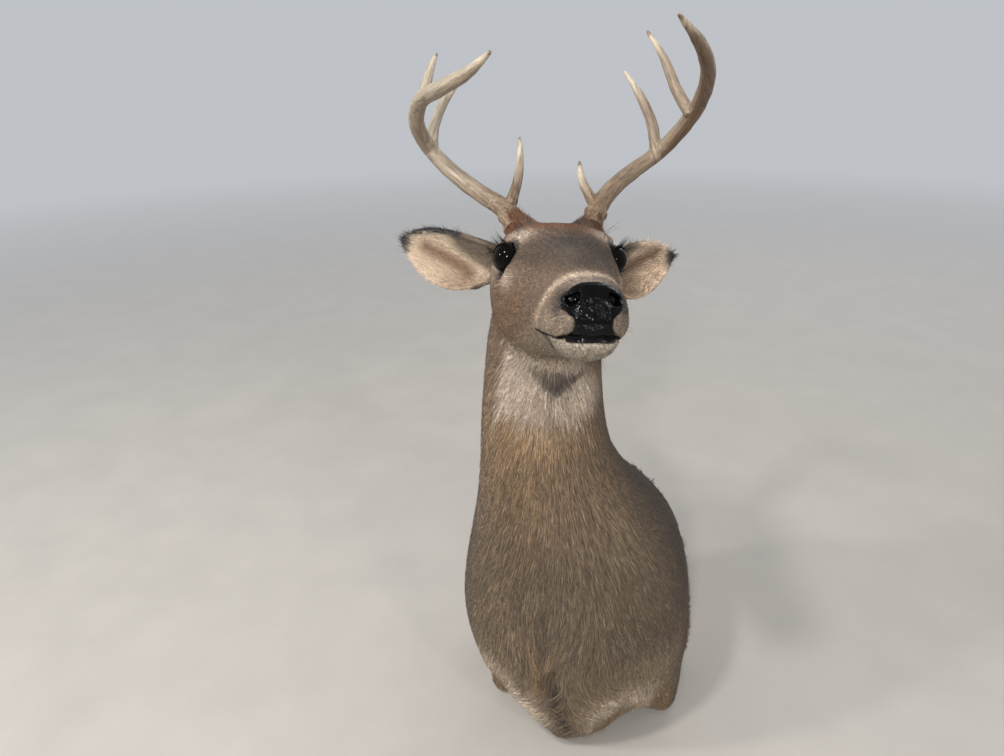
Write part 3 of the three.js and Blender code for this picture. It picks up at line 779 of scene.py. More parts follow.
def inside_wedge(x, z, corners):
    """1 inside a triangle whose corners run against the clock, with soft sides."""
    share = np.ones(len(x))
    for (x_start, z_start), (x_end, z_end) in zip(corners, corners[1:] + corners[:1]):
        along_x, along_z = x_end - x_start, z_end - z_start
        inward = (along_x * (z - z_start) - along_z * (x - x_start)) / math.hypot(along_x, along_z)
        share = share * ramp(-1.5, 2.0, inward)
    return share


def near_edge(place, left_reach, right_reach):
    """1 along the two pale fringes where the hide ends below the brisket."""
    return np.maximum(near_line(place, LEFT_EDGE, left_reach), near_line(place, RIGHT_EDGE, right_reach))


def body_marking(points):
    place = points - SHIFT
    x, y, z = place.T
    behind = ramp(-45, 65, y - 0.12 * z)
    ragged = 4 * ripple(place, 14, 51)
    bib = ramp(407, 417, z + ragged) * ramp(25, 0, y) * ramp(-90, -76, x + ragged)
    # painted shadow under the jaw: darker towards the buck's left, the shaded side
    jaw_shadow_tone = blend(tone(0.36, 0.33, 0.30), tone(0.23, 0.205, 0.185), ramp(-48, -26, x))
    hidden = (y < 20) * ramp(80, 35, z) * ramp(26, 32, distance_to_line(place, MIDLINE))
    return painted(place, plain(len(points), 0.43, 0.36, 0.29), [
        # greyer down the chest, darker behind, a golden throat
        ((0.375, 0.32, 0.26), ramp(330, 240, z)),
        ((0.285, 0.242, 0.203), behind),
        ((0.375, 0.308, 0.248), behind * ramp(190, 120, z)),
        ((0.50, 0.435, 0.36), ramp(175, 100, z) * (1 - behind)),
        (GOLD, 0.7, (-38, -45, 396), (62, 40, 17)),
        (GOLD, 0.25, (-40, -50, 350), (40, 40, 40)),
        # the pale bib with its two brightest patches, and above it a wedge of painted shadow under the jaw,
        # darker on the buck's left
        ((0.65, 0.60, 0.56), 0.95 * bib),
        ((0.62, 0.56, 0.50), 0.8, (-26, -28, 424), (30, 30, 8)),
        ((0.66, 0.615, 0.57), 0.95, (-71, -26, 441), (13, 20, 17)),
        ((0.70, 0.65, 0.605), 0.9, (4, 8, 430), (20, 26, 18)),
        (jaw_shadow_tone, inside_wedge(x, z, THROAT_SHADOW_WEDGE) * (y < 18)),
        # the brisket: a golden swirl, painted shade in the creases along the midline and the parting, pale
        # fringes and a brown underside
        ((0.56, 0.455, 0.32), 0.95, SWIRL, (8, 30, 13)),
        ((0.12, 0.095, 0.08), 0.95, MIDLINE, 7.0),
        ((0.20, 0.165, 0.135), 0.8, PARTING, 3.5),
        ((0.68, 0.625, 0.565), np.minimum(1, 1.25 * near_edge(place, 15, 13))),
        ((0.50, 0.41, 0.30), 0.8 * hidden),
    ])


def bare_lip(folded):
    """The bare black skin between the nose pad and the mouth, wider towards the mouth."""
    x, y, z = folded.T
    half = 15.5 + 5.0 * ramp(-62, -71, z) - 6.0 * ramp(-73, -78, z)
    level = ramp(-50, -52, z) * ramp(-76.2, -74.6, z)
    return ramp(half + 1.5, half, x) * (y < NOSE_BACK) * level


def bare_skin(folded):
    """1 on the black skin of the lips, inside the nostrils and round the lids."""
    out, far, _ = lid_place(folded)
    lids = ramp(1.22, 1.08, out) * (far < LID_REACH)
    nostrils = np.minimum(1, 2.5 * bell(folded, NOSTRIL, (8, 24, 7))) * (folded[:, 1] < NOSE_BACK)
    return np.maximum.reduce([lids, nostrils, bare_lip(folded), near_line(folded, MOUTH, 2.4)])


def head_marking(local):
    folded = mirrored(local)
    x, y, z = folded.T
    cheek = ramp(30, 52, x) * ramp(-18, -34, z) * ramp(-95, -50, y)
    return painted(folded, plain(len(local), 0.46, 0.38, 0.31), [
        # darker above, pale below, warmer cheeks, and a rusty band between the antlers
        ((0.34, 0.272, 0.208), ramp(-14, 4, z - 0.1 * y)),
        ((0.21, 0.178, 0.148), 0.85, (0, -62, 8), (28, 30, 18)),
        ((0.27, 0.228, 0.185), 0.9, (0, -116, -6), (20, 30, 12)),
        ((0.58, 0.525, 0.465), 0.85 * ramp(-62, -88, z + 0.15 * y)),
        ((0.46, 0.345, 0.24), 0.55 * cheek),
        ((0.42, 0.36, 0.31), ramp(20, 85, y) * ramp(-70, -30, z)),
        ((0.44, 0.275, 0.15), 1.2, (12, 0, 36), (44, 26, 18)),
        ((0.355, 0.215, 0.10), 1.8, (41, 42, 46), (22, 24, 18)),
        # pale rings round the eyes, wider above the brow and under the front corner
        ((0.74, 0.67, 0.61), 0.95, (45, -14, 21), (19, 16, 9)),
        ((0.72, 0.65, 0.59), 1, (54, -25, -23), (15, 12, 9)),
        (CREAM, 0.8, (62, 14, -14), (14, 12, 12)),
        # the dark slit in front of the eye, with a rusty streak below it
        (RUST, 0.9, EYE_STREAK, 3.5),
        (BLACK, 0.95, EYE_SLIT, 2.6),
        (DARK, 0.95, EYE_TOP, 4.5),
        # the muzzle: a pale band, greyer skin round the nose, speckled lips, a pale chin
        ((0.43, 0.378, 0.335), ramp(-128, -150, y - 0.4 * z)),
        ((0.68, 0.61, 0.54), 0.95, MUZZLE_BAND, 6.5),
        ((0.50, 0.45, 0.42), 0.9, (0, -167, -23), (16, 7, 6)),
        (DARK, 0.85, (29, -164, -47), (6, 7, 7)),
        ((0.51, 0.455, 0.40), 0.8, (29, -156, -64), (9, 14, 7)),
        ((0.61, 0.57, 0.525), ramp(-72, -77, z) * ramp(-112, -130, y)),
        (RUST, 0.5, (38, -92, -62), (8, 8, 9)),
        (BLACK, 0.95, CHIN_NOTCH, 4.2),
        (BLACK, bare_skin(folded)),
    ])


def mirrored_vectors(points, vectors):
    """Directions in the head's frame, those on its right side folded onto its left."""
    turned = vectors @ HEAD_AXES
    turned[:, 0] *= side_of(to_head(points))
    return turned


# where the part of an ear that stands free of the head begins
EAR_FOOT = 20


def ear_outline():
    """How far across an ear its upper edge lies, at steps along it, and where its tip is."""
    along, across, _ = ear_place(skin_points)
    on_ear = ear_share(skin_points) > 0.5
    along, across = along[on_ear], across[on_ear]
    steps = np.linspace(EAR_FOOT, along.max(), 30)
    step = np.clip(np.searchsorted(steps, along) - 1, 0, len(steps) - 1)
    upper = np.full(len(steps), -99.0)
    np.maximum.at(upper, step, across)
    upper[-1] = min(upper[-1], upper[-2])
    return steps, upper, along.max()


EAR_STEPS, EAR_UPPER, EAR_END = ear_outline()


def ear_marking(points, normals):
    along, across, _ = ear_place(points)
    from_upper = np.interp(along, EAR_STEPS, EAR_UPPER) - across
    tip = ramp(EAR_END - 19, EAR_END - 10, along)
    fold = ramp(-8, 2, across - 0.35 * (along - 50)) * ramp(86, 62, along)
    spread_out = columns(along, across, 0 * along)
    outside = painted(spread_out, plain(len(points), 0.40, 0.35, 0.30), [
        ((0.30, 0.26, 0.235), ramp(0.7, 1.0, along / norm(EAR_TIP - EAR_ROOT))),
        (EAR_RIM, np.maximum(ramp(7, 3, from_upper), tip)),
    ])
    lining = painted(spread_out, plain(len(points), 0.70, 0.635, 0.565), [
        ((0.56, 0.46, 0.35), 0.6 * ramp(-16, -26, across) * ramp(95, 60, along)),
        # painted shade in the hollow of the ear, in a brown tone
        ((0.42, 0.31, 0.21), 0.9, EAR_HOLLOW_SHADE, 9),
        ((0.41, 0.355, 0.30), fold),
    ])
    # painted light on the lining of the buck's left ear
    lining = lining * np.where(to_head(points)[:, 0] > 0, LEFT_EAR_PAINTED_LIGHT, 1.0)[:, None]
    rim = np.maximum(tip, ramp(8.0, 4.5, from_upper) * ramp(46, 62, along))
    inside = ramp(-0.1, 0.35, mirrored_vectors(points, normals) @ EAR_OPEN)
    return blend(outside, blend(lining, EAR_RIM, rim), inside)


def locks(points):
    """How much paler or darker each lock is than its neighbours: long down the body, short on the head."""
    drawn_out = (points - SHIFT) * vec(1.0, 1.0, 0.15)
    front = ramp(60, -60, points[:, 1] - SHIFT[1])
    body = (0.10 + 0.12 * front) * ripple(drawn_out, 8.0, 61)
    body += (0.10 + 0.14 * front) * ripple(drawn_out, 3.4, 62)
    brow = bell(to_head(points), (0, -50, 8), (44, 60, 30))
    head = (0.46 + 0.50 * brow) * ripple(points, 3.0, 63) + 0.10 * ripple(points, 9.0, 64)
    return blend(body[:, None], head[:, None], head_share(points))


def marking(points, normals):
    on_head, on_ear = head_share(points), ear_share(points)
    colour = blend(body_marking(points), head_marking(to_head(points)), on_head)
    colour = colour * (1 + locks(points))
    return COAT_GAIN * blend(colour, ear_marking(points, normals), on_ear)


# ---- coat

# the side of one tuft's patch on the unwrap, whose square is 1, and the most triangles in one piece
PATCH = 0.003
MOST_TRIANGLES = 190_000
# two facings that agree by this much are on one side of a thin wall
SAME_SIDE = 0.2
# how closely hair keeps to the skin, how deep a tuft's foot is buried, how much of its width it
# loses towards the tip, and its ridge's height
CLING = 0.85
FOOT_DEPTH, NARROWING = 0.35, 0.22
RIDGE_SHARE, RIDGE_LEAST, RIDGE_FALL = 0.45, 0.35, 0.4
# a tuft's random number: below the first its tip is dark, above the second it is straw
DARK_BELOW, STRAW_ABOVE = 0.24, 0.80
HAIRS = 1.0
BOLD = 1.0
coat_rng = np.random.default_rng(20)
coat = []


def vary(low, high, many):
    return coat_rng.uniform(low, high, many)


def body_axis(z):
    """Where the neck's and the trunk's middle lies at a height: x and y."""
    return -8 - 0.07 * (z - 200), 20 + 0.02 * z


def lie_of_coat(points, normals):
    """Which way the hair lies at each place: backwards on the head, down and back on the body."""
    place = points - SHIFT
    x, y, z = place.T
    aside = np.clip((x - body_axis(z)[0]) / 90, -1.3, 1.3)
    behind = ramp(-30, 60, y - 0.1 * z) * ramp(420, 250, z)
    body = columns(0.4 * aside, 0.55 * behind, -np.ones_like(x))
    # drawn together above the swirl, parted below it, and turned back at the board
    body[:, 0] -= 2.6 * bell(place, SWIRL + vec(0, 0, 36.0), (42, 60, 42)) * aside
    under = bell(place, SWIRL + vec(8.0, 0, -56.0), (60, 70, 44))
    body[:, 0] += 1.6 * under * np.clip((x - 8) / 26, -1, 1)
    body[:, 1] += 1.6 * (1 - ramp(4, 22, hem_depth(points)))
    local = to_head(points)
    folded = mirrored(local)
    fall = -0.15 - 0.5 * ramp(-10, -60, folded[:, 2])
    head = columns(0.22 * np.ones_like(x), np.ones_like(x), fall)
    head[:, 2] += 0.4 * ramp(0, 20, folded[:, 2]) * ramp(-60, 0, folded[:, 1])
    # up to the antlers, and outwards round the eyes
    crown = bell(folded, (38, 40, 40), (24, 24, 20))
    head = blend(head, unit(BURR + vec(0, 0, 8.0) - folded), 0.9 * crown)
    from_eye = folded - EYE
    head += 0.9 * unit(from_eye) * hump(norm(from_eye, axis=1), 26)[:, None]
    ear = np.tile(EAR_ALONG, (len(points), 1)) + 0.25 * unit(EAR_ACROSS)
    for lie in (head, ear):
        lie[:, 0] *= side_of(local)
    flow = blend(blend(body, head @ HEAD_AXES.T, head_share(points)), ear @ HEAD_AXES.T, ear_share(points))
    flow -= (flow * normals).sum(axis=1, keepdims=True) * normals
    return unit(flow)


def chart_place(points, region):
    """Each root's place on an unwrap of the skin's own shape, before it is fitted to the square."""
    if region == "ear":
        along, across, _ = ear_place(points)
        return columns(across, along)
    if region == "head":
        local = to_head(points)
        around = np.arctan2(local[:, 0], local[:, 2] + 40)
        return columns(around * 45, local[:, 1])
    place = points - SHIFT
    middle_x, middle_y = body_axis(place[:, 2])
    around = np.arctan2(place[:, 0] - middle_x, middle_y - place[:, 1])
    return columns(around * 90, points[:, 2])


def stretched(values):
    """Values brought to between 0.01 and 0.98, so that no patch crosses the square's edge."""
    low, high = values.min(axis=0), values.max(axis=0)
    return 0.01 + 0.97 * (values - low) / (high - low)


def sown(share, area=1.0):
    """Hairs on a share of the skin, one to `area` square millimetres: roots, facings and marking."""
    count = coat_rng.poisson(HAIRS * share * areas / area)
    chosen = np.repeat(np.arange(len(skin_triangles)), count)
    a, b = coat_rng.random(len(chosen)), coat_rng.random(len(chosen))
    over = a + b > 1
    a[over], b[over] = 1 - a[over], 1 - b[over]
    weights = columns(1 - a - b, a, b)[:, :, None]
    corners = skin_triangles[chosen]
    roots = (skin_points[corners] * weights).sum(axis=1)
    normals = unit((skin_normals[corners] * weights).sum(axis=1))
    return roots, normals, marking(roots, normals)


skin_tree = BVHTree.FromPolygons(skin_points.tolist(), skin_triangles.tolist())


def settled(points, facings):
    """The nearest places on the skin and its facing there; a point inside a thin wall stays."""
    spots, turned = points.copy(), facings.copy()
    for i, place in enumerate(points.tolist()):
        spot, facing, _, _ = skin_tree.find_nearest(place)
        if facing.dot(Vector(facings[i])) > SAME_SIDE:
            spots[i] = spot
            turned[i] = facing
    return spots, turned


def combed(lies, normals, wander):
    """The lie turned a little for each hair."""
    turn = coat_rng.normal(0, 1, len(lies)) * wander
    across = np.cross(lies, normals)
    return lies * np.cos(turn)[:, None] + across * np.sin(turn)[:, None]


def traced(roots, normals, length, wander, rings):
    """Each hair's path over the skin, with the skin's facing below it."""
    lies = combed(lie_of_coat(roots, normals), normals, wander)
    paths, facings = [roots], [normals]
    for _ in range(rings):
        ahead = paths[-1] + lies * (length / rings)[:, None]
        spots, turned = settled(ahead, facings[-1])
        paths.append(blend(ahead, spots, CLING))
        facings.append(unit(facings[-1] + 2 * turned))
        lies = lies + lie_of_coat(spots, facings[-1])
        lies = unit(lies - (lies * facings[-1]).sum(axis=1, keepdims=True) * facings[-1])
    return np.stack(paths, axis=1), np.stack(facings, axis=1)


def add_lying(name, region, roots, normals, length, wander, width, lift, shades, rings=1):
    """Adds tufts that lie along the skin, shorter over the seam below the swirl and darker there, as
    painted shade in its crease.
    """
    root_colour, tip_colour = shades
    over_seam = near_line(roots + [0, 0, -8] - SHIFT, MIDLINE, 8)
    paths, facings = traced(roots, normals, length * (1 - 0.5 * over_seam), wander, rings)
    # painted shade in the crease along the midline: tips and roots there are darkened
    tip_colour = tip_colour * (1 - 0.9 * near_line(paths[:, -1] - SHIFT, MIDLINE, 7.5))[:, None]
    root_colour = root_colour * (1 - 0.6 * over_seam)[:, None]
    add_tufts(name, region, paths, facings, width, lift, (root_colour, tip_colour))


def tuft_faces(rings):
    """The faces of one tuft: three corners to each ring and a shared tip."""
    tip = 3 * rings
    faces = [(tip - 3, tip - 1, tip), (tip - 2, tip, tip - 1), (tip - 3, tip, tip - 2), (0, 1, 2)]
    for low in range(0, tip - 3, 3):
        for one, two in ((0, 2), (2, 1), (1, 0)):
            faces.append((low + one, low + two, low + 3 + one))
            faces.append((low + two, low + 3 + two, low + 3 + one))
    return np.array(faces)


def add_tufts(name, region, paths, facings, width, lift, shades):
    """Adds closed tapering tufts, flat underneath and ridged on top, each along its own path."""
    root_colour, tip_colour = shades
    rings = paths.shape[1] - 1
    points, colours, offsets = [], [], []
    for ring in range(rings):
        share = ring / rings
        across = unit(np.cross(paths[:, ring + 1] - paths[:, ring], facings[:, ring]))
        spot = paths[:, ring] + facings[:, ring] * (lift * share**0.8 - FOOT_DEPTH)[:, None]
        half = across * (width * (0.5 - NARROWING * share))[:, None]
        high = (width * RIDGE_SHARE + RIDGE_LEAST) * (1 - RIDGE_FALL * share)
        ridge = facings[:, ring] * high[:, None]
        points += [spot - half, spot + half, spot + ridge]
        colours += [blend(root_colour, tip_colour, share)] * 3
        offsets += [(0, share), (1, share), (0.5, share)]
    points = np.stack(points + [paths[:, -1] + facings[:, -1] * lift[:, None]], axis=1)
    points[:, :, 2] = np.maximum(points[:, :, 2], LOWEST / 2)
    colours = np.stack(colours + [tip_colour], axis=1)
    offsets = np.array(offsets + [(0.5, 1.0)])
    faces = tuft_faces(rings)
    chart = stretched(chart_place(paths[:, 0], region))
    parts = int(np.ceil(len(paths) * len(faces) / MOST_TRIANGLES))
    for part, chosen in enumerate(np.array_split(np.argsort(chart[:, 0]), parts)):
        starts = np.arange(len(chosen))[:, None, None] * len(offsets)
        corners = (faces[None] + starts).reshape(-1, 3)
        label = f"{name}_{part + 1}" if parts > 1 else name
        piece = new_piece(label, points[chosen].reshape(-1, 3), corners)
        write_colours(piece.data, colours[chosen].reshape(-1, 3))
        own = chart[chosen]
        own[:, 0] = stretched(own[:, 0])
        spots = (own[:, None] + PATCH * offsets).reshape(-1, 2)
        layer = piece.data.uv_layers.new(name="OFBake")
        layer.data.foreach_set("uv", spots[corners.ravel()].astype(np.float32).ravel())
        coat.append(piece)


def speckled(colour, root_share, amount):
    """Each tuft's own root and tip: most near the marking's tone, some dark-tipped, some straw."""
    pick = coat_rng.random(len(colour))
    shade = 1 + amount * coat_rng.normal(0, 0.22, len(colour))
    shade = np.where(pick < DARK_BELOW, shade * (1 - 0.5 * amount), shade)
    shade = np.where(pick > STRAW_ABOVE, shade * (1 + 0.55 * amount), shade)
    return colour * root_share, colour * np.clip(shade, 0.2, 2.2)[:, None]


def under_nose(points):
    """True where the nose pad's own surface lies over the skin."""
    tree = BVHTree.FromPolygons(nose_front.tolist(), nose_triangles.tolist())
    covered = []
    for place in points.tolist():
        spot, facing, _, gap = tree.find_nearest(place)
        covered.append((Vector(place) - spot).dot(facing) < -0.3 * gap or gap < 0.5)
    return np.array(covered)


def behind_pad(points):
    """True on the skin of the muzzle that the nose pad covers."""
    covered = (head_share(points) > 0.5) & (to_head(points)[:, 1] < NOSE_BACK)
    covered[covered] = under_nose(points[covered])
    return covered


def without_hair(centres, facings):
    """True where no hair grows: at the board, underneath, at the eyes, mouth, nostrils and nose."""
    on_board = (hem_depth(centres) < 2.5) & (facings[:, 1] > 0.6)
    underneath = (facings[:, 2] < -0.8) & (centres[:, 2] < 30)
    folded = mirrored(to_head(centres))
    out, far, _ = lid_place(folded)
    in_eye = (out < 1.06) & (far < EYE_RADIUS + 8)
    in_mouth = (distance_to_line(folded, MOUTH) < 2.6) | (bare_lip(folded) > 0.5)
    in_nostril = bell(folded, NOSTRIL, (9, 14, 8)) > 0.2
    on_face = (head_share(centres) > 0.5) & (in_eye | in_mouth | in_nostril)
    return on_board | underneath | on_face | behind_pad(centres)


corner_a, corner_b, corner_c = (skin_points[skin_triangles[:, i]] for i in range(3))
across = np.cross(corner_b - corner_a, corner_c - corner_a)
areas = norm(across, axis=1) / 2
centres = (corner_a + corner_b + corner_c) / 3
tri_place = centres - SHIFT
bare = without_hair(centres, unit(across))
tri_head, tri_ear = head_share(centres), ear_share(centres)
body_share = (1 - tri_head) * (1 - tri_ear) * ~bare


def add_body():
    """Short flat tufts on the shoulders, longer down the front."""
    roots, normals, colour = sown(body_share, 2.4)
    place, many = roots - SHIFT, len(roots)
    front = ramp(50, -70, place[:, 1]) * ramp(95, 45, np.abs(place[:, 0] + 10))
    length = (7.5 + 5.5 * front) * vary(0.7, 1.25, many)
    at_hem = 1 - ramp(2, 12, hem_depth(roots))
    lift = 1.2 + 1.6 * coat_rng.random(many) ** 2 + 0.8 * near_edge(place, 11, 11) + 0.6 * at_hem
    width = vary(0.5, 0.9, many) * BOLD
    shades = speckled(colour, 0.78, 0.95 - 0.35 * front)
    add_lying("coat_body", "body", roots, normals, length, 0.22, width, lift, shades)


def add_long():
    """Long thin straw strands down the throat and chest, drawn together at the brisket."""
    share = ramp(30, -50, tri_place[:, 1]) * ramp(110, 40, np.abs(tri_place[:, 0] + 10))
    share += 1.5 * bell(tri_place, SWIRL, (22, 40, 30))
    roots, normals, colour = sown(share * body_share, 7.5)
    many = len(roots)
    length = 30 * vary(0.5, 1.4, many)
    lift = 1.9 + 1.2 * coat_rng.random(many) ** 2
    width = vary(0.35, 0.6, many) * BOLD
    pale = blend(colour, COAT_GAIN * STRAW, 0.1 + 0.8 * vary(0, 1, many) ** 2.5)
    shades = colour * 0.8, pale * vary(0.66, 1.36, many)[:, None]
    add_lying("coat_long", "body", roots, normals, length, 0.10, width, lift, shades, rings=3)


def add_brisket():
    """Hair drawn together at the swirl, lying outwards from the midline, and pale fringes."""
    middle = np.maximum(near_line(tri_place, MIDLINE, 22), near_line(tri_place, PARTING, 16))
    dense = middle / 6.0 + near_edge(tri_place, 15, 12) / 5.0
    roots, normals, colour = sown(body_share * dense)
    place, many = roots - SHIFT, len(roots)
    at_swirl = bell(place, SWIRL, (13, 40, 20))
    at_edge = near_edge(place, 15, 12)
    length = (26 - 6 * at_edge) * vary(0.6, 1.4, many)
    lift = 2.0 + 1.5 * coat_rng.random(many) + 5.0 * at_swirl * coat_rng.random(many) + 1.2 * at_edge
    width = vary(0.35, 0.6, many) * BOLD
    shades = speckled(colour, 0.7, 1.25)
    add_lying("coat_brisket", "body", roots, normals, length, 0.25, width, lift, shades, rings=3)


def along_line(line, at):
    """Places on a line through a few places; `at` counts its stretches from 0."""
    corners = np.array(line, float)
    return columns(*(np.interp(at, np.arange(len(corners)), values) for values in corners.T))


GATHERED, CROSSING = 120, 46


def add_swirl():
    """Strands drawn together above the swirl, and others crossing the dark seam below it."""
    height = vary(12, 60, GATHERED)
    aside = np.sign(vary(-1, 1, GATHERED)) * vary(0.08, 0.5, GATHERED) * height
    start = columns(aside, 0 * height, height) + SWIRL
    end = SWIRL + coat_rng.normal(0, 2.5, (GATHERED, 3))
    end[:, 2] -= vary(0, 22, GATHERED)
    seam = along_line(MIDLINE, vary(0, 1, CROSSING) ** 0.8 * 3)
    swing = np.sign(vary(-1, 1, CROSSING)) * vary(5, 13, CROSSING)
    above = columns(swing, 0 * swing, vary(4, 14, CROSSING))
    below = columns(swing * 0.8, 0 * swing, vary(6, 16, CROSSING))
    start = np.concatenate([start, seam + above])
    end = np.concatenate([end, seam - below])
    many = len(start)
    paths, facings = [], []
    for share in (0.0, 0.35, 0.7, 1.0):
        step = start + (end - start) * share
        step[:, 0] += 0.22 * (start - end)[:, 0] * math.sin(math.pi * share)
        spots, turned = settled(step + SHIFT, np.tile([0.0, -1.0, 0.0], (many, 1)))
        paths.append(spots + turned * 0.8 * math.sin(math.pi * share))
        facings.append(turned)
    dark = np.tile(COAT_GAIN * tone(0.38, 0.31, 0.24), (many, 1))
    colour = blend(dark, COAT_GAIN * tone(0.57, 0.49, 0.38), vary(0, 1, many) ** 1.8)
    width = vary(0.3, 0.5, many)
    lift = vary(3.0, 4.6, many)
    add_tufts("coat_swirl", "body", np.stack(paths, axis=1), np.stack(facings, axis=1), width, lift,
              speckled(colour, 0.7, 0.8))


def add_hem():
    """Hair standing out past the cut, over the edge of the board."""
    near_hem = (1 - ramp(5, 9, hem_depth(centres))) * body_share
    roots, normals, colour = sown(near_hem, 1.6)
    many = len(roots)
    backward = vec(0.0, 1.0, -0.35)
    ahead = unit(backward - (normals @ backward)[:, None] * normals)
    ahead = unit(ahead - 0.10 * normals + coat_rng.normal(0, 0.05, (many, 3)))
    length = vary(9, 13, many)[:, None]
    paths = columns(roots, roots + 0.5 * length * ahead, roots + length * ahead)
    width = vary(0.5, 0.9, many) * BOLD
    lift = vary(0.3, 0.9, many)
    add_tufts("coat_hem", "body", paths, np.stack([normals] * 3, axis=1), width, lift,
              speckled(colour, 0.78, 0.7))


def add_head():
    """Short fine hair, shortest on the muzzle, longer round the antlers and under the chin."""
    roots, normals, colour = sown(tri_head * (1 - tri_ear) * ~bare, 0.8)
    folded, many = mirrored(to_head(roots)), len(roots)
    muzzle = ramp(-90, -150, folded[:, 1])
    neckward = ramp(-60, -110, folded[:, 2]) * ramp(-100, -60, folded[:, 1])
    chin = ramp(-76, -82, folded[:, 2]) * ramp(-110, -130, folded[:, 1])
    crown = bell(folded, (39, 42, 44), (20, 20, 18))
    length = (4.6 - 2.2 * muzzle + 5.0 * neckward + 2.5 * chin + 7.0 * crown) * vary(0.7, 1.3, many)
    lift = 0.5 + 0.8 * coat_rng.random(many) + 0.9 * chin + 11.0 * crown * coat_rng.random(many) ** 0.7
    width = (0.66 - 0.12 * muzzle) * vary(0.75, 1.25, many) * BOLD
    shades = speckled(colour, 0.7, 1.6)
    add_lying("coat_head", "head", roots, normals, length, 0.28, width, lift, shades)


PEDICLE = vec(42.0, 48.0, 36.0)
PEDICLE_RADIUS, PEDICLE_HAIRS = 11.5, 2600
BURR_AXIS = unit(vec(0.6, 0.4, 0.7))
BURR_ACROSS = unit(np.cross(BURR_AXIS, [0.0, 0.0, 1.0]))
BURR_ABOVE = np.cross(BURR_AXIS, BURR_ACROSS)


def add_pedicle(side, label):
    """Rusty hair standing round the foot of an antler, longest on its inner side."""
    many = int(PEDICLE_HAIRS * HAIRS)
    turn = vary(0, math.tau, many)[:, None]
    out = np.cos(turn) * BURR_ACROSS + np.sin(turn) * BURR_ABOVE
    inner = ramp(0.55, 0.1, out[:, 0])
    start = vary(-9, 1, many) - 2.5 * (1 - inner)
    reach = vary(8, 15, many) * (0.45 + 0.55 * inner)
    steps = []
    for share in (0.0, 0.5, 1.0):
        radius = (PEDICLE_RADIUS + (0.6 + 1.8 * inner) * share)[:, None]
        spot = PEDICLE + radius * out + (start + reach * share)[:, None] * BURR_AXIS
        steps.append(on_side(spot, side))
    paths = np.stack(steps, axis=1)
    facing = (out * [side, 1.0, 1.0]) @ HEAD_AXES.T
    colour = COAT_GAIN * tone(0.345, 0.20, 0.09) * (1 + locks(paths[:, 0]))
    width = vary(0.35, 0.6, many)
    lift = vary(0.5, 2.2, many)
    add_tufts("coat_pedicle_" + label, "head", paths, np.stack([facing] * 3, axis=1), width, lift,
              speckled(colour, 0.7, 1.0))


def add_ear(side, label):
    """Short hair outside, long and soft across the hollow."""
    own_side = np.sign(to_head(centres)[:, 0]) == side
    roots, normals, colour = sown(tri_ear * own_side * ~bare, 1.2)
    many = len(roots)
    inside = ramp(0.0, 0.4, mirrored_vectors(roots, normals) @ EAR_OPEN)
    length = (4.0 + 6.5 * inside) * vary(0.6, 1.4, many)
    lift = 0.4 + (0.4 + 1.0 * inside) * coat_rng.random(many)
    width = 0.55 * vary(0.75, 1.25, many) * BOLD
    shades = speckled(colour, 0.8, 0.7)
    add_lying("coat_ear_" + label, "ear", roots, normals, length, 0.3, width, lift, shades)


# in this order, as each takes its random numbers from the same row
for add_group in (add_body, add_long, add_brisket, add_swirl, add_hem, add_head):
    add_group()
for add_group in (add_pedicle, add_ear):
    for side, label in SIDES:
        add_group(side, label)


# ---- whiskers and lips

# on the brows, lips and chin: root, direction and spread in the head's frame, length, how many
WHISKERS = [
    ((47, -12, 27), (0.6, -0.3, 0.8), (5, 5, 2), 34, 7),
    ((52, -20, -26), (0.7, -0.4, -0.3), (5, 5, 3), 18, 5),
    ((27, -158, -62), (0.8, -0.2, -0.3), (3, 5, 4), 9, 4),
    ((10, -154, -90), (0.2, -0.3, -0.9), (8, 8, 2), 10, 6),
]
WHISKER_RADIUS = 0.12
WHISKER_STEPS = np.linspace(0, 1, 5)
LIP_CORNERS, LIP_RADIUS = 41, 1.35


def whisker_paths(root, aim, around, reach, count, side):
    roots = on_side(np.array(root) + np.array(around) * coat_rng.normal(0, 0.6, (count, 3)), side)
    spots, _ = settled(roots, np.tile(on_side(np.array([aim]), side) - HEAD_ORIGIN, (count, 1)))
    aims = unit(np.array(aim)) + coat_rng.normal(0, 0.18, (count, 3))
    aims = unit(aims * [side, 1, 1] @ HEAD_AXES.T)
    steps = WHISKER_STEPS[None, :, None]
    spans = (reach * vary(0.6, 1.2, count))[:, None, None]
    droop = vec(0, 0, -0.25) * steps**2
    return spots[:, None] + spans * (aims[:, None] * steps + droop)


paths = np.concatenate([whisker_paths(*row, side) for row in WHISKERS for side, _ in SIDES])
radii = np.broadcast_to(WHISKER_RADIUS * (1.08 - WHISKER_STEPS), paths.shape[:2])
whiskers = new_piece("whiskers", *strands(paths, radii))

# the wet black lips, a thin line from corner to corner, a little thicker in front
half_mouth = np.array(MOUTH, float)
mouth_line = on_side(np.concatenate([half_mouth, half_mouth[-2::-1] * [-1, 1, 1]]), 1)
path = along_line(mouth_line, np.linspace(0, len(mouth_line) - 1, LIP_CORNERS))
for _ in range(3):
    path[1:-1] = (path[:-2] + 2 * path[1:-1] + path[2:]) / 4
path, _ = settled(path, np.tile(path[LIP_CORNERS // 2] - HEAD_ORIGIN, (LIP_CORNERS, 1)))
radii = LIP_RADIUS + 0.1 * np.sin(np.linspace(0, math.pi, LIP_CORNERS))
lips = new_piece("lips", *strands(path[None], radii[None], sides=8))

# ---- the skin's own colours

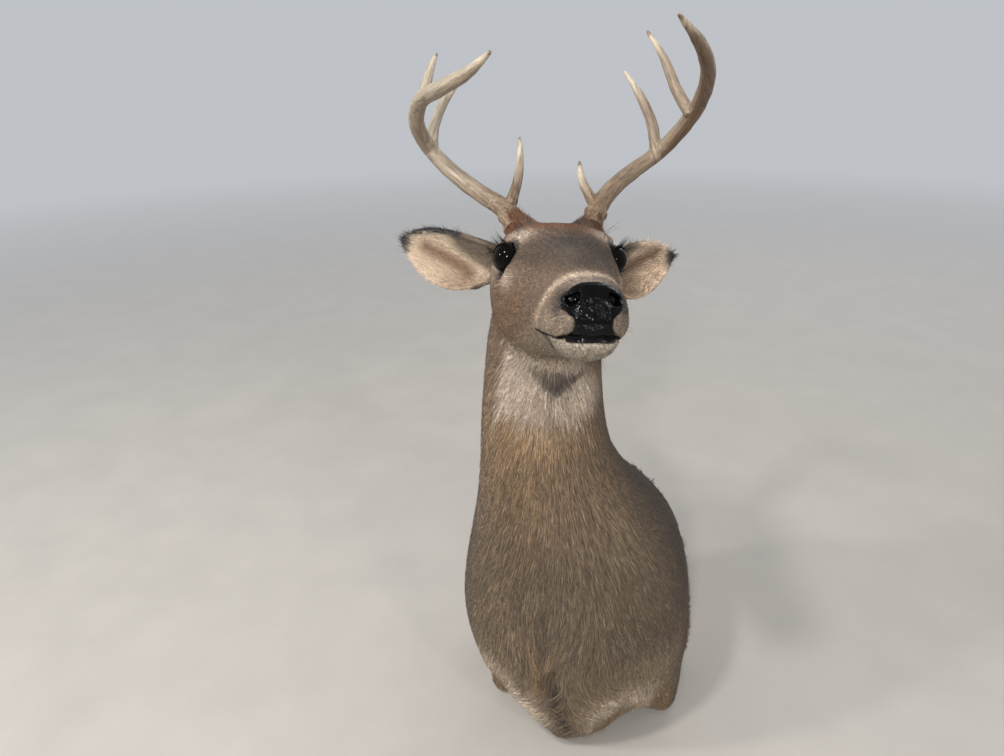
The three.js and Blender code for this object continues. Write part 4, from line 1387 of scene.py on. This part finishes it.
# the skin shows between the hairs, so it is a little darker than they are
SKIN_SHADE = 0.85
skin_colour = marking(skin_points, skin_normals)
skin_head = head_share(skin_points)
pad_covers = behind_pad(skin_points)
skin_colour[pad_covers] = BLACK
write_colours(skin.data, skin_colour * SKIN_SHADE)
skin_wet = np.maximum(bare_skin(mirrored(to_head(skin_points))) * (skin_head > 0.5), pad_covers)
wet_layer = skin.data.attributes.new("wet", "FLOAT", "POINT")
wet_layer.data.foreach_set("value", skin_wet.astype(np.float32))
# places with the hair's own direction shortened, so that noise runs out along the hair
body_grain, head_grain = vec(1, 1, 0.14), vec(1, 0.2, 1)
hair_place = blend(skin_points * body_grain, to_head(skin_points) * head_grain, skin_head)
write_vectors(skin.data, hair_place * MM, "hair_place")

# ---- materials


class Look:
    """A material in the making: its nodes, and the one shader they feed."""

    def __init__(self, name):
        self.made = bpy.data.materials.new(name)
        self.made.use_nodes = True
        self.tree = self.made.node_tree
        self.coordinates = self.node("TexCoord").outputs
        self.place = self.coordinates["Object"]

    def feed(self, node, sources):
        """Sets a node's sockets to values, or links them to other nodes' outputs."""
        for name, source in sources.items():
            if isinstance(source, bpy.types.NodeSocket):
                self.tree.links.new(source, node.inputs[name])
            else:
                node.inputs[name].default_value = source

    def node(self, kind, sources=None, **settings):
        made = self.tree.nodes.new("ShaderNode" + kind)
        for key, value in settings.items():
            setattr(made, key, value)
        self.feed(made, sources or {})
        return made

    def layer(self, name, output):
        return self.node("Attribute", attribute_name=name).outputs[output]

    def noise(self, scale, detail, place=None, roughness=0.55):
        settings = {"Scale": scale, "Detail": detail, "Roughness": roughness, "Vector": place or self.place}
        return self.node("TexNoise", settings).outputs["Fac"]

    def pebbles(self, cells):
        settings = {"Scale": cells, "Vector": self.place}
        return self.node("TexVoronoi", settings, feature="SMOOTH_F1").outputs["Distance"]

    def spread(self, value, low, high, start=0.3, end=0.7):
        """A value between start and end mapped to low and high."""
        ends = {"From Min": start, "From Max": end, "To Min": low, "To Max": high}
        return self.node("MapRange", {"Value": value, **ends}).outputs["Result"]

    def mixed(self, a, b, share, kind="MIX"):
        made = self.node("Mix", {"Factor": share}, data_type="RGBA", blend_type=kind)
        first, second = [i for i, socket in enumerate(made.inputs) if socket.type == "RGBA"]
        self.feed(made, {first: a, second: b})
        return next(socket for socket in made.outputs if socket.type == "RGBA")

    def marked(self, shade):
        """The painted marking, made darker or lighter by a shade."""
        return self.mixed(self.layer("marking", "Color"), shade, 1.0, "MULTIPLY")

    def squeezed(self, place, *scale):
        return self.node("Mapping", {"Vector": place, "Scale": scale}).outputs["Vector"]

    def finished(self, colour, roughness, height, strength, distance, others=None):
        bump = self.node("Bump", {"Height": height, "Strength": strength, "Distance": distance})
        main = {"Base Color": colour, "Roughness": roughness, "Normal": bump.outputs["Normal"]}
        self.feed(self.tree.nodes["Principled BSDF"], {**main, **(others or {})})
        return self.made


def grey(value):
    return (value, value, value, 1.0)


SHINE = "Specular IOR Level"
WET_ROUGHNESS = (0.10, 0.26)
NOSE_CELLS = 560


def hair_material():
    look = Look("coat_hair")
    colour = look.marked(look.spread(look.noise(700, 2), 0.8, 1.2))
    roughness = look.spread(look.noise(300, 2), 0.5, 0.72)
    return look.finished(colour, roughness, look.noise(1600, 2), 0.25, 0.0004,
                         {SHINE: 0.28, "Sheen Weight": 0.12})


def skin_material():
    look = Look("skin_coat")
    streak = look.noise(620, 3, look.layer("hair_place", "Vector"))
    wet = look.layer("wet", "Fac")
    gloss = look.spread(look.noise(420, 3), *WET_ROUGHNESS)
    roughness = look.mixed(look.spread(look.noise(240, 2), 0.6, 0.85), gloss, wet)
    height = look.mixed(streak, look.pebbles(NOSE_CELLS), wet)
    return look.finished(look.marked(look.spread(streak, 0.45, 1.1, 0.35, 0.65)), roughness, height,
                         0.4, 0.0008, {SHINE: 0.16})


def wet_material(name, low, high, roughness, shine, bump, cells):
    look = Look(name)
    colour = look.mixed(grey(low), grey(high), look.spread(look.noise(160, 4), 0, 1))
    return look.finished(colour, look.spread(look.noise(420, 3), *roughness), look.pebbles(cells),
                         bump, 0.0007, {SHINE: shine})


def eye_material():
    look = Look("glass_eye")
    fibres = look.spread(look.noise(900, 4), 0, 1)
    colour = look.mixed((0.001, 0.0008, 0.0008, 1), (0.004, 0.002, 0.001, 1), fibres)
    return look.finished(colour, look.spread(look.noise(120, 2), 0.03, 0.07), look.noise(60, 1),
                         0.02, 0.0002, {SHINE: 0.1})


def antler_material():
    look = Look("antler")
    grain = look.layer("grain", "Vector")
    lines = look.noise(420, 4, grain, 0.6)
    pores = look.spread(look.noise(900, 2), 0.88, 1.08)
    flecks = look.spread(look.noise(330, 3, grain, 0.65), 0.42, 1.0, 0.30, 0.40)
    shade = look.mixed(look.spread(lines, 0.58, 1.14, 0.36, 0.6), pores, 0.3)
    colour = look.marked(look.mixed(shade, flecks, 1.0, "MULTIPLY"))
    return look.finished(colour, look.spread(lines, 0.55, 0.36), lines, 0.55, 0.0006, {SHINE: 0.4})


def board_material():
    """Plywood with long grain on its two faces; its edge is stained dark."""
    look = Look("plywood")
    turned = []
    for vector in (look.place, look.coordinates["Normal"]):
        lean = {"Vector": vector, "Angle": HEM_LEAN}
        turned.append(look.node("VectorRotate", lean, rotation_type="X_AXIS").outputs["Vector"])
    upright, facing = turned
    grain = look.noise(90, 5, look.squeezed(upright, 1.0, 1.0, 0.07))
    layers = {"Scale": 75, "Distortion": 0.3, "Vector": upright}
    plies = look.node("TexWave", layers, bands_direction="Y").outputs["Fac"]
    backward = look.node("SeparateXYZ", {"Vector": facing}).outputs["Y"]
    backward = look.node("Math", {0: backward}, operation="ABSOLUTE").outputs["Value"]
    face = look.mixed((0.42, 0.26, 0.13, 1), (0.62, 0.44, 0.26, 1), look.spread(grain, 0, 1))
    plywood = look.mixed(face, look.spread(plies, 0.82, 1.05, 0.2, 0.8), 1.0, "MULTIPLY")
    on_face = look.spread(backward, 0.0, 1.0, 0.6, 0.8)
    return look.finished(look.mixed((0.045, 0.036, 0.028, 1), plywood, on_face),
                         look.spread(grain, 0.5, 0.75), grain, 0.25, 0.0008)


def steel_material():
    look = Look("brushed_steel")
    scratches = look.noise(500, 3, look.squeezed(look.place, 1.0, 0.1, 0.1))
    colour = look.mixed(grey(0.42), grey(0.58), look.spread(scratches, 0, 1))
    return look.finished(colour, look.spread(scratches, 0.3, 0.48), scratches, 0.15, 0.0002,
                         {"Metallic": 1.0})


def floor_material():
    """A pale table top with faint smudges, clear far away so that it has no far edge."""
    look = Look("floor")
    smudge = look.noise(9, 5)
    colour = look.mixed((0.45, 0.415, 0.37, 1), (0.49, 0.452, 0.403, 1), look.spread(smudge, 0, 1))
    far = look.node("VectorMath", {0: look.place}, operation="LENGTH").outputs["Value"]
    return look.finished(colour, look.spread(smudge, 0.6, 0.75), look.noise(120, 3), 0.1, 0.001,
                         {"Alpha": look.spread(far, 1.0, 0.0, FLOOR_SOLID, FLOOR_REACH)})


def dress(pieces, made):
    for piece in pieces:
        piece.data.materials.clear()
        piece.data.materials.append(made)


dress(coat, hair_material())
dress([skin], skin_material())
dress([nose], wet_material("nose_leather", 0.0006, 0.0018, WET_ROUGHNESS, 0.13, 0.35, NOSE_CELLS))
lid_skin = wet_material("lid_skin", 0.001, 0.003, (0.6, 0.8), 0.08, 0.2, 1100)
dress(lid_rims + lashes + [whiskers, lips], lid_skin)
dress(eyes, eye_material())
for antler in antlers:
    dress([antler], antler_material())
dress([nodes["back_board"]], board_material())
dress([nodes["wall_hanger"]], steel_material())

# ---- floor, light and the end

# metres: where the floor starts to fade out, and where it has gone
FLOOR_SOLID, FLOOR_REACH = 0.9, 4.5
FLOOR_HALF = 8000.0
WORLD_TONE = (0.52, 0.54, 0.57, 1.0)
# lamp: place in metres, power in watts, size in metres
LAMPS = {
    "high": ((-0.60, -1.36, 2.44), 26, 0.22),
    "left": ((-1.76, -1.30, 1.55), 20, 0.20),
    "front": ((0.33, -2.19, 1.48), 26, 0.20),
    "right": ((1.71, -1.46, 1.41), 9, 0.20),
    "behind": ((0.5, 2.4, 1.9), 12, 1.20),
}
AIMED_AT = Vector((-0.03, 0.0, 0.45))

for name, (place, power, size) in LAMPS.items():
    data = bpy.data.lights.new(name, "AREA")
    data.energy = power
    data.size = size
    lamp = bpy.data.objects.new(name, data)
    lamp.location = place
    lamp.rotation_euler = (AIMED_AT - lamp.location).to_track_quat("-Z", "Y").to_euler()
    bpy.context.scene.collection.objects.link(lamp)

world = bpy.data.worlds.new("studio")
world.use_nodes = True
world.node_tree.nodes["Background"].inputs["Color"].default_value = WORLD_TONE
bpy.context.scene.world = world

corners = FLOOR_HALF * np.array([[-1, -1, 0], [1, -1, 0], [1, 1, 0], [-1, 1, 0]])
floor_piece = new_piece("floor", corners, np.array([[0, 1, 2, 3]]))
dress([floor_piece], floor_material())
floor_piece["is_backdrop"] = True
bpy.context.scene.view_settings.view_transform = "Standard"

visual_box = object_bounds()
sizes = {"cad_box": cad_box, "visual_box": visual_box}
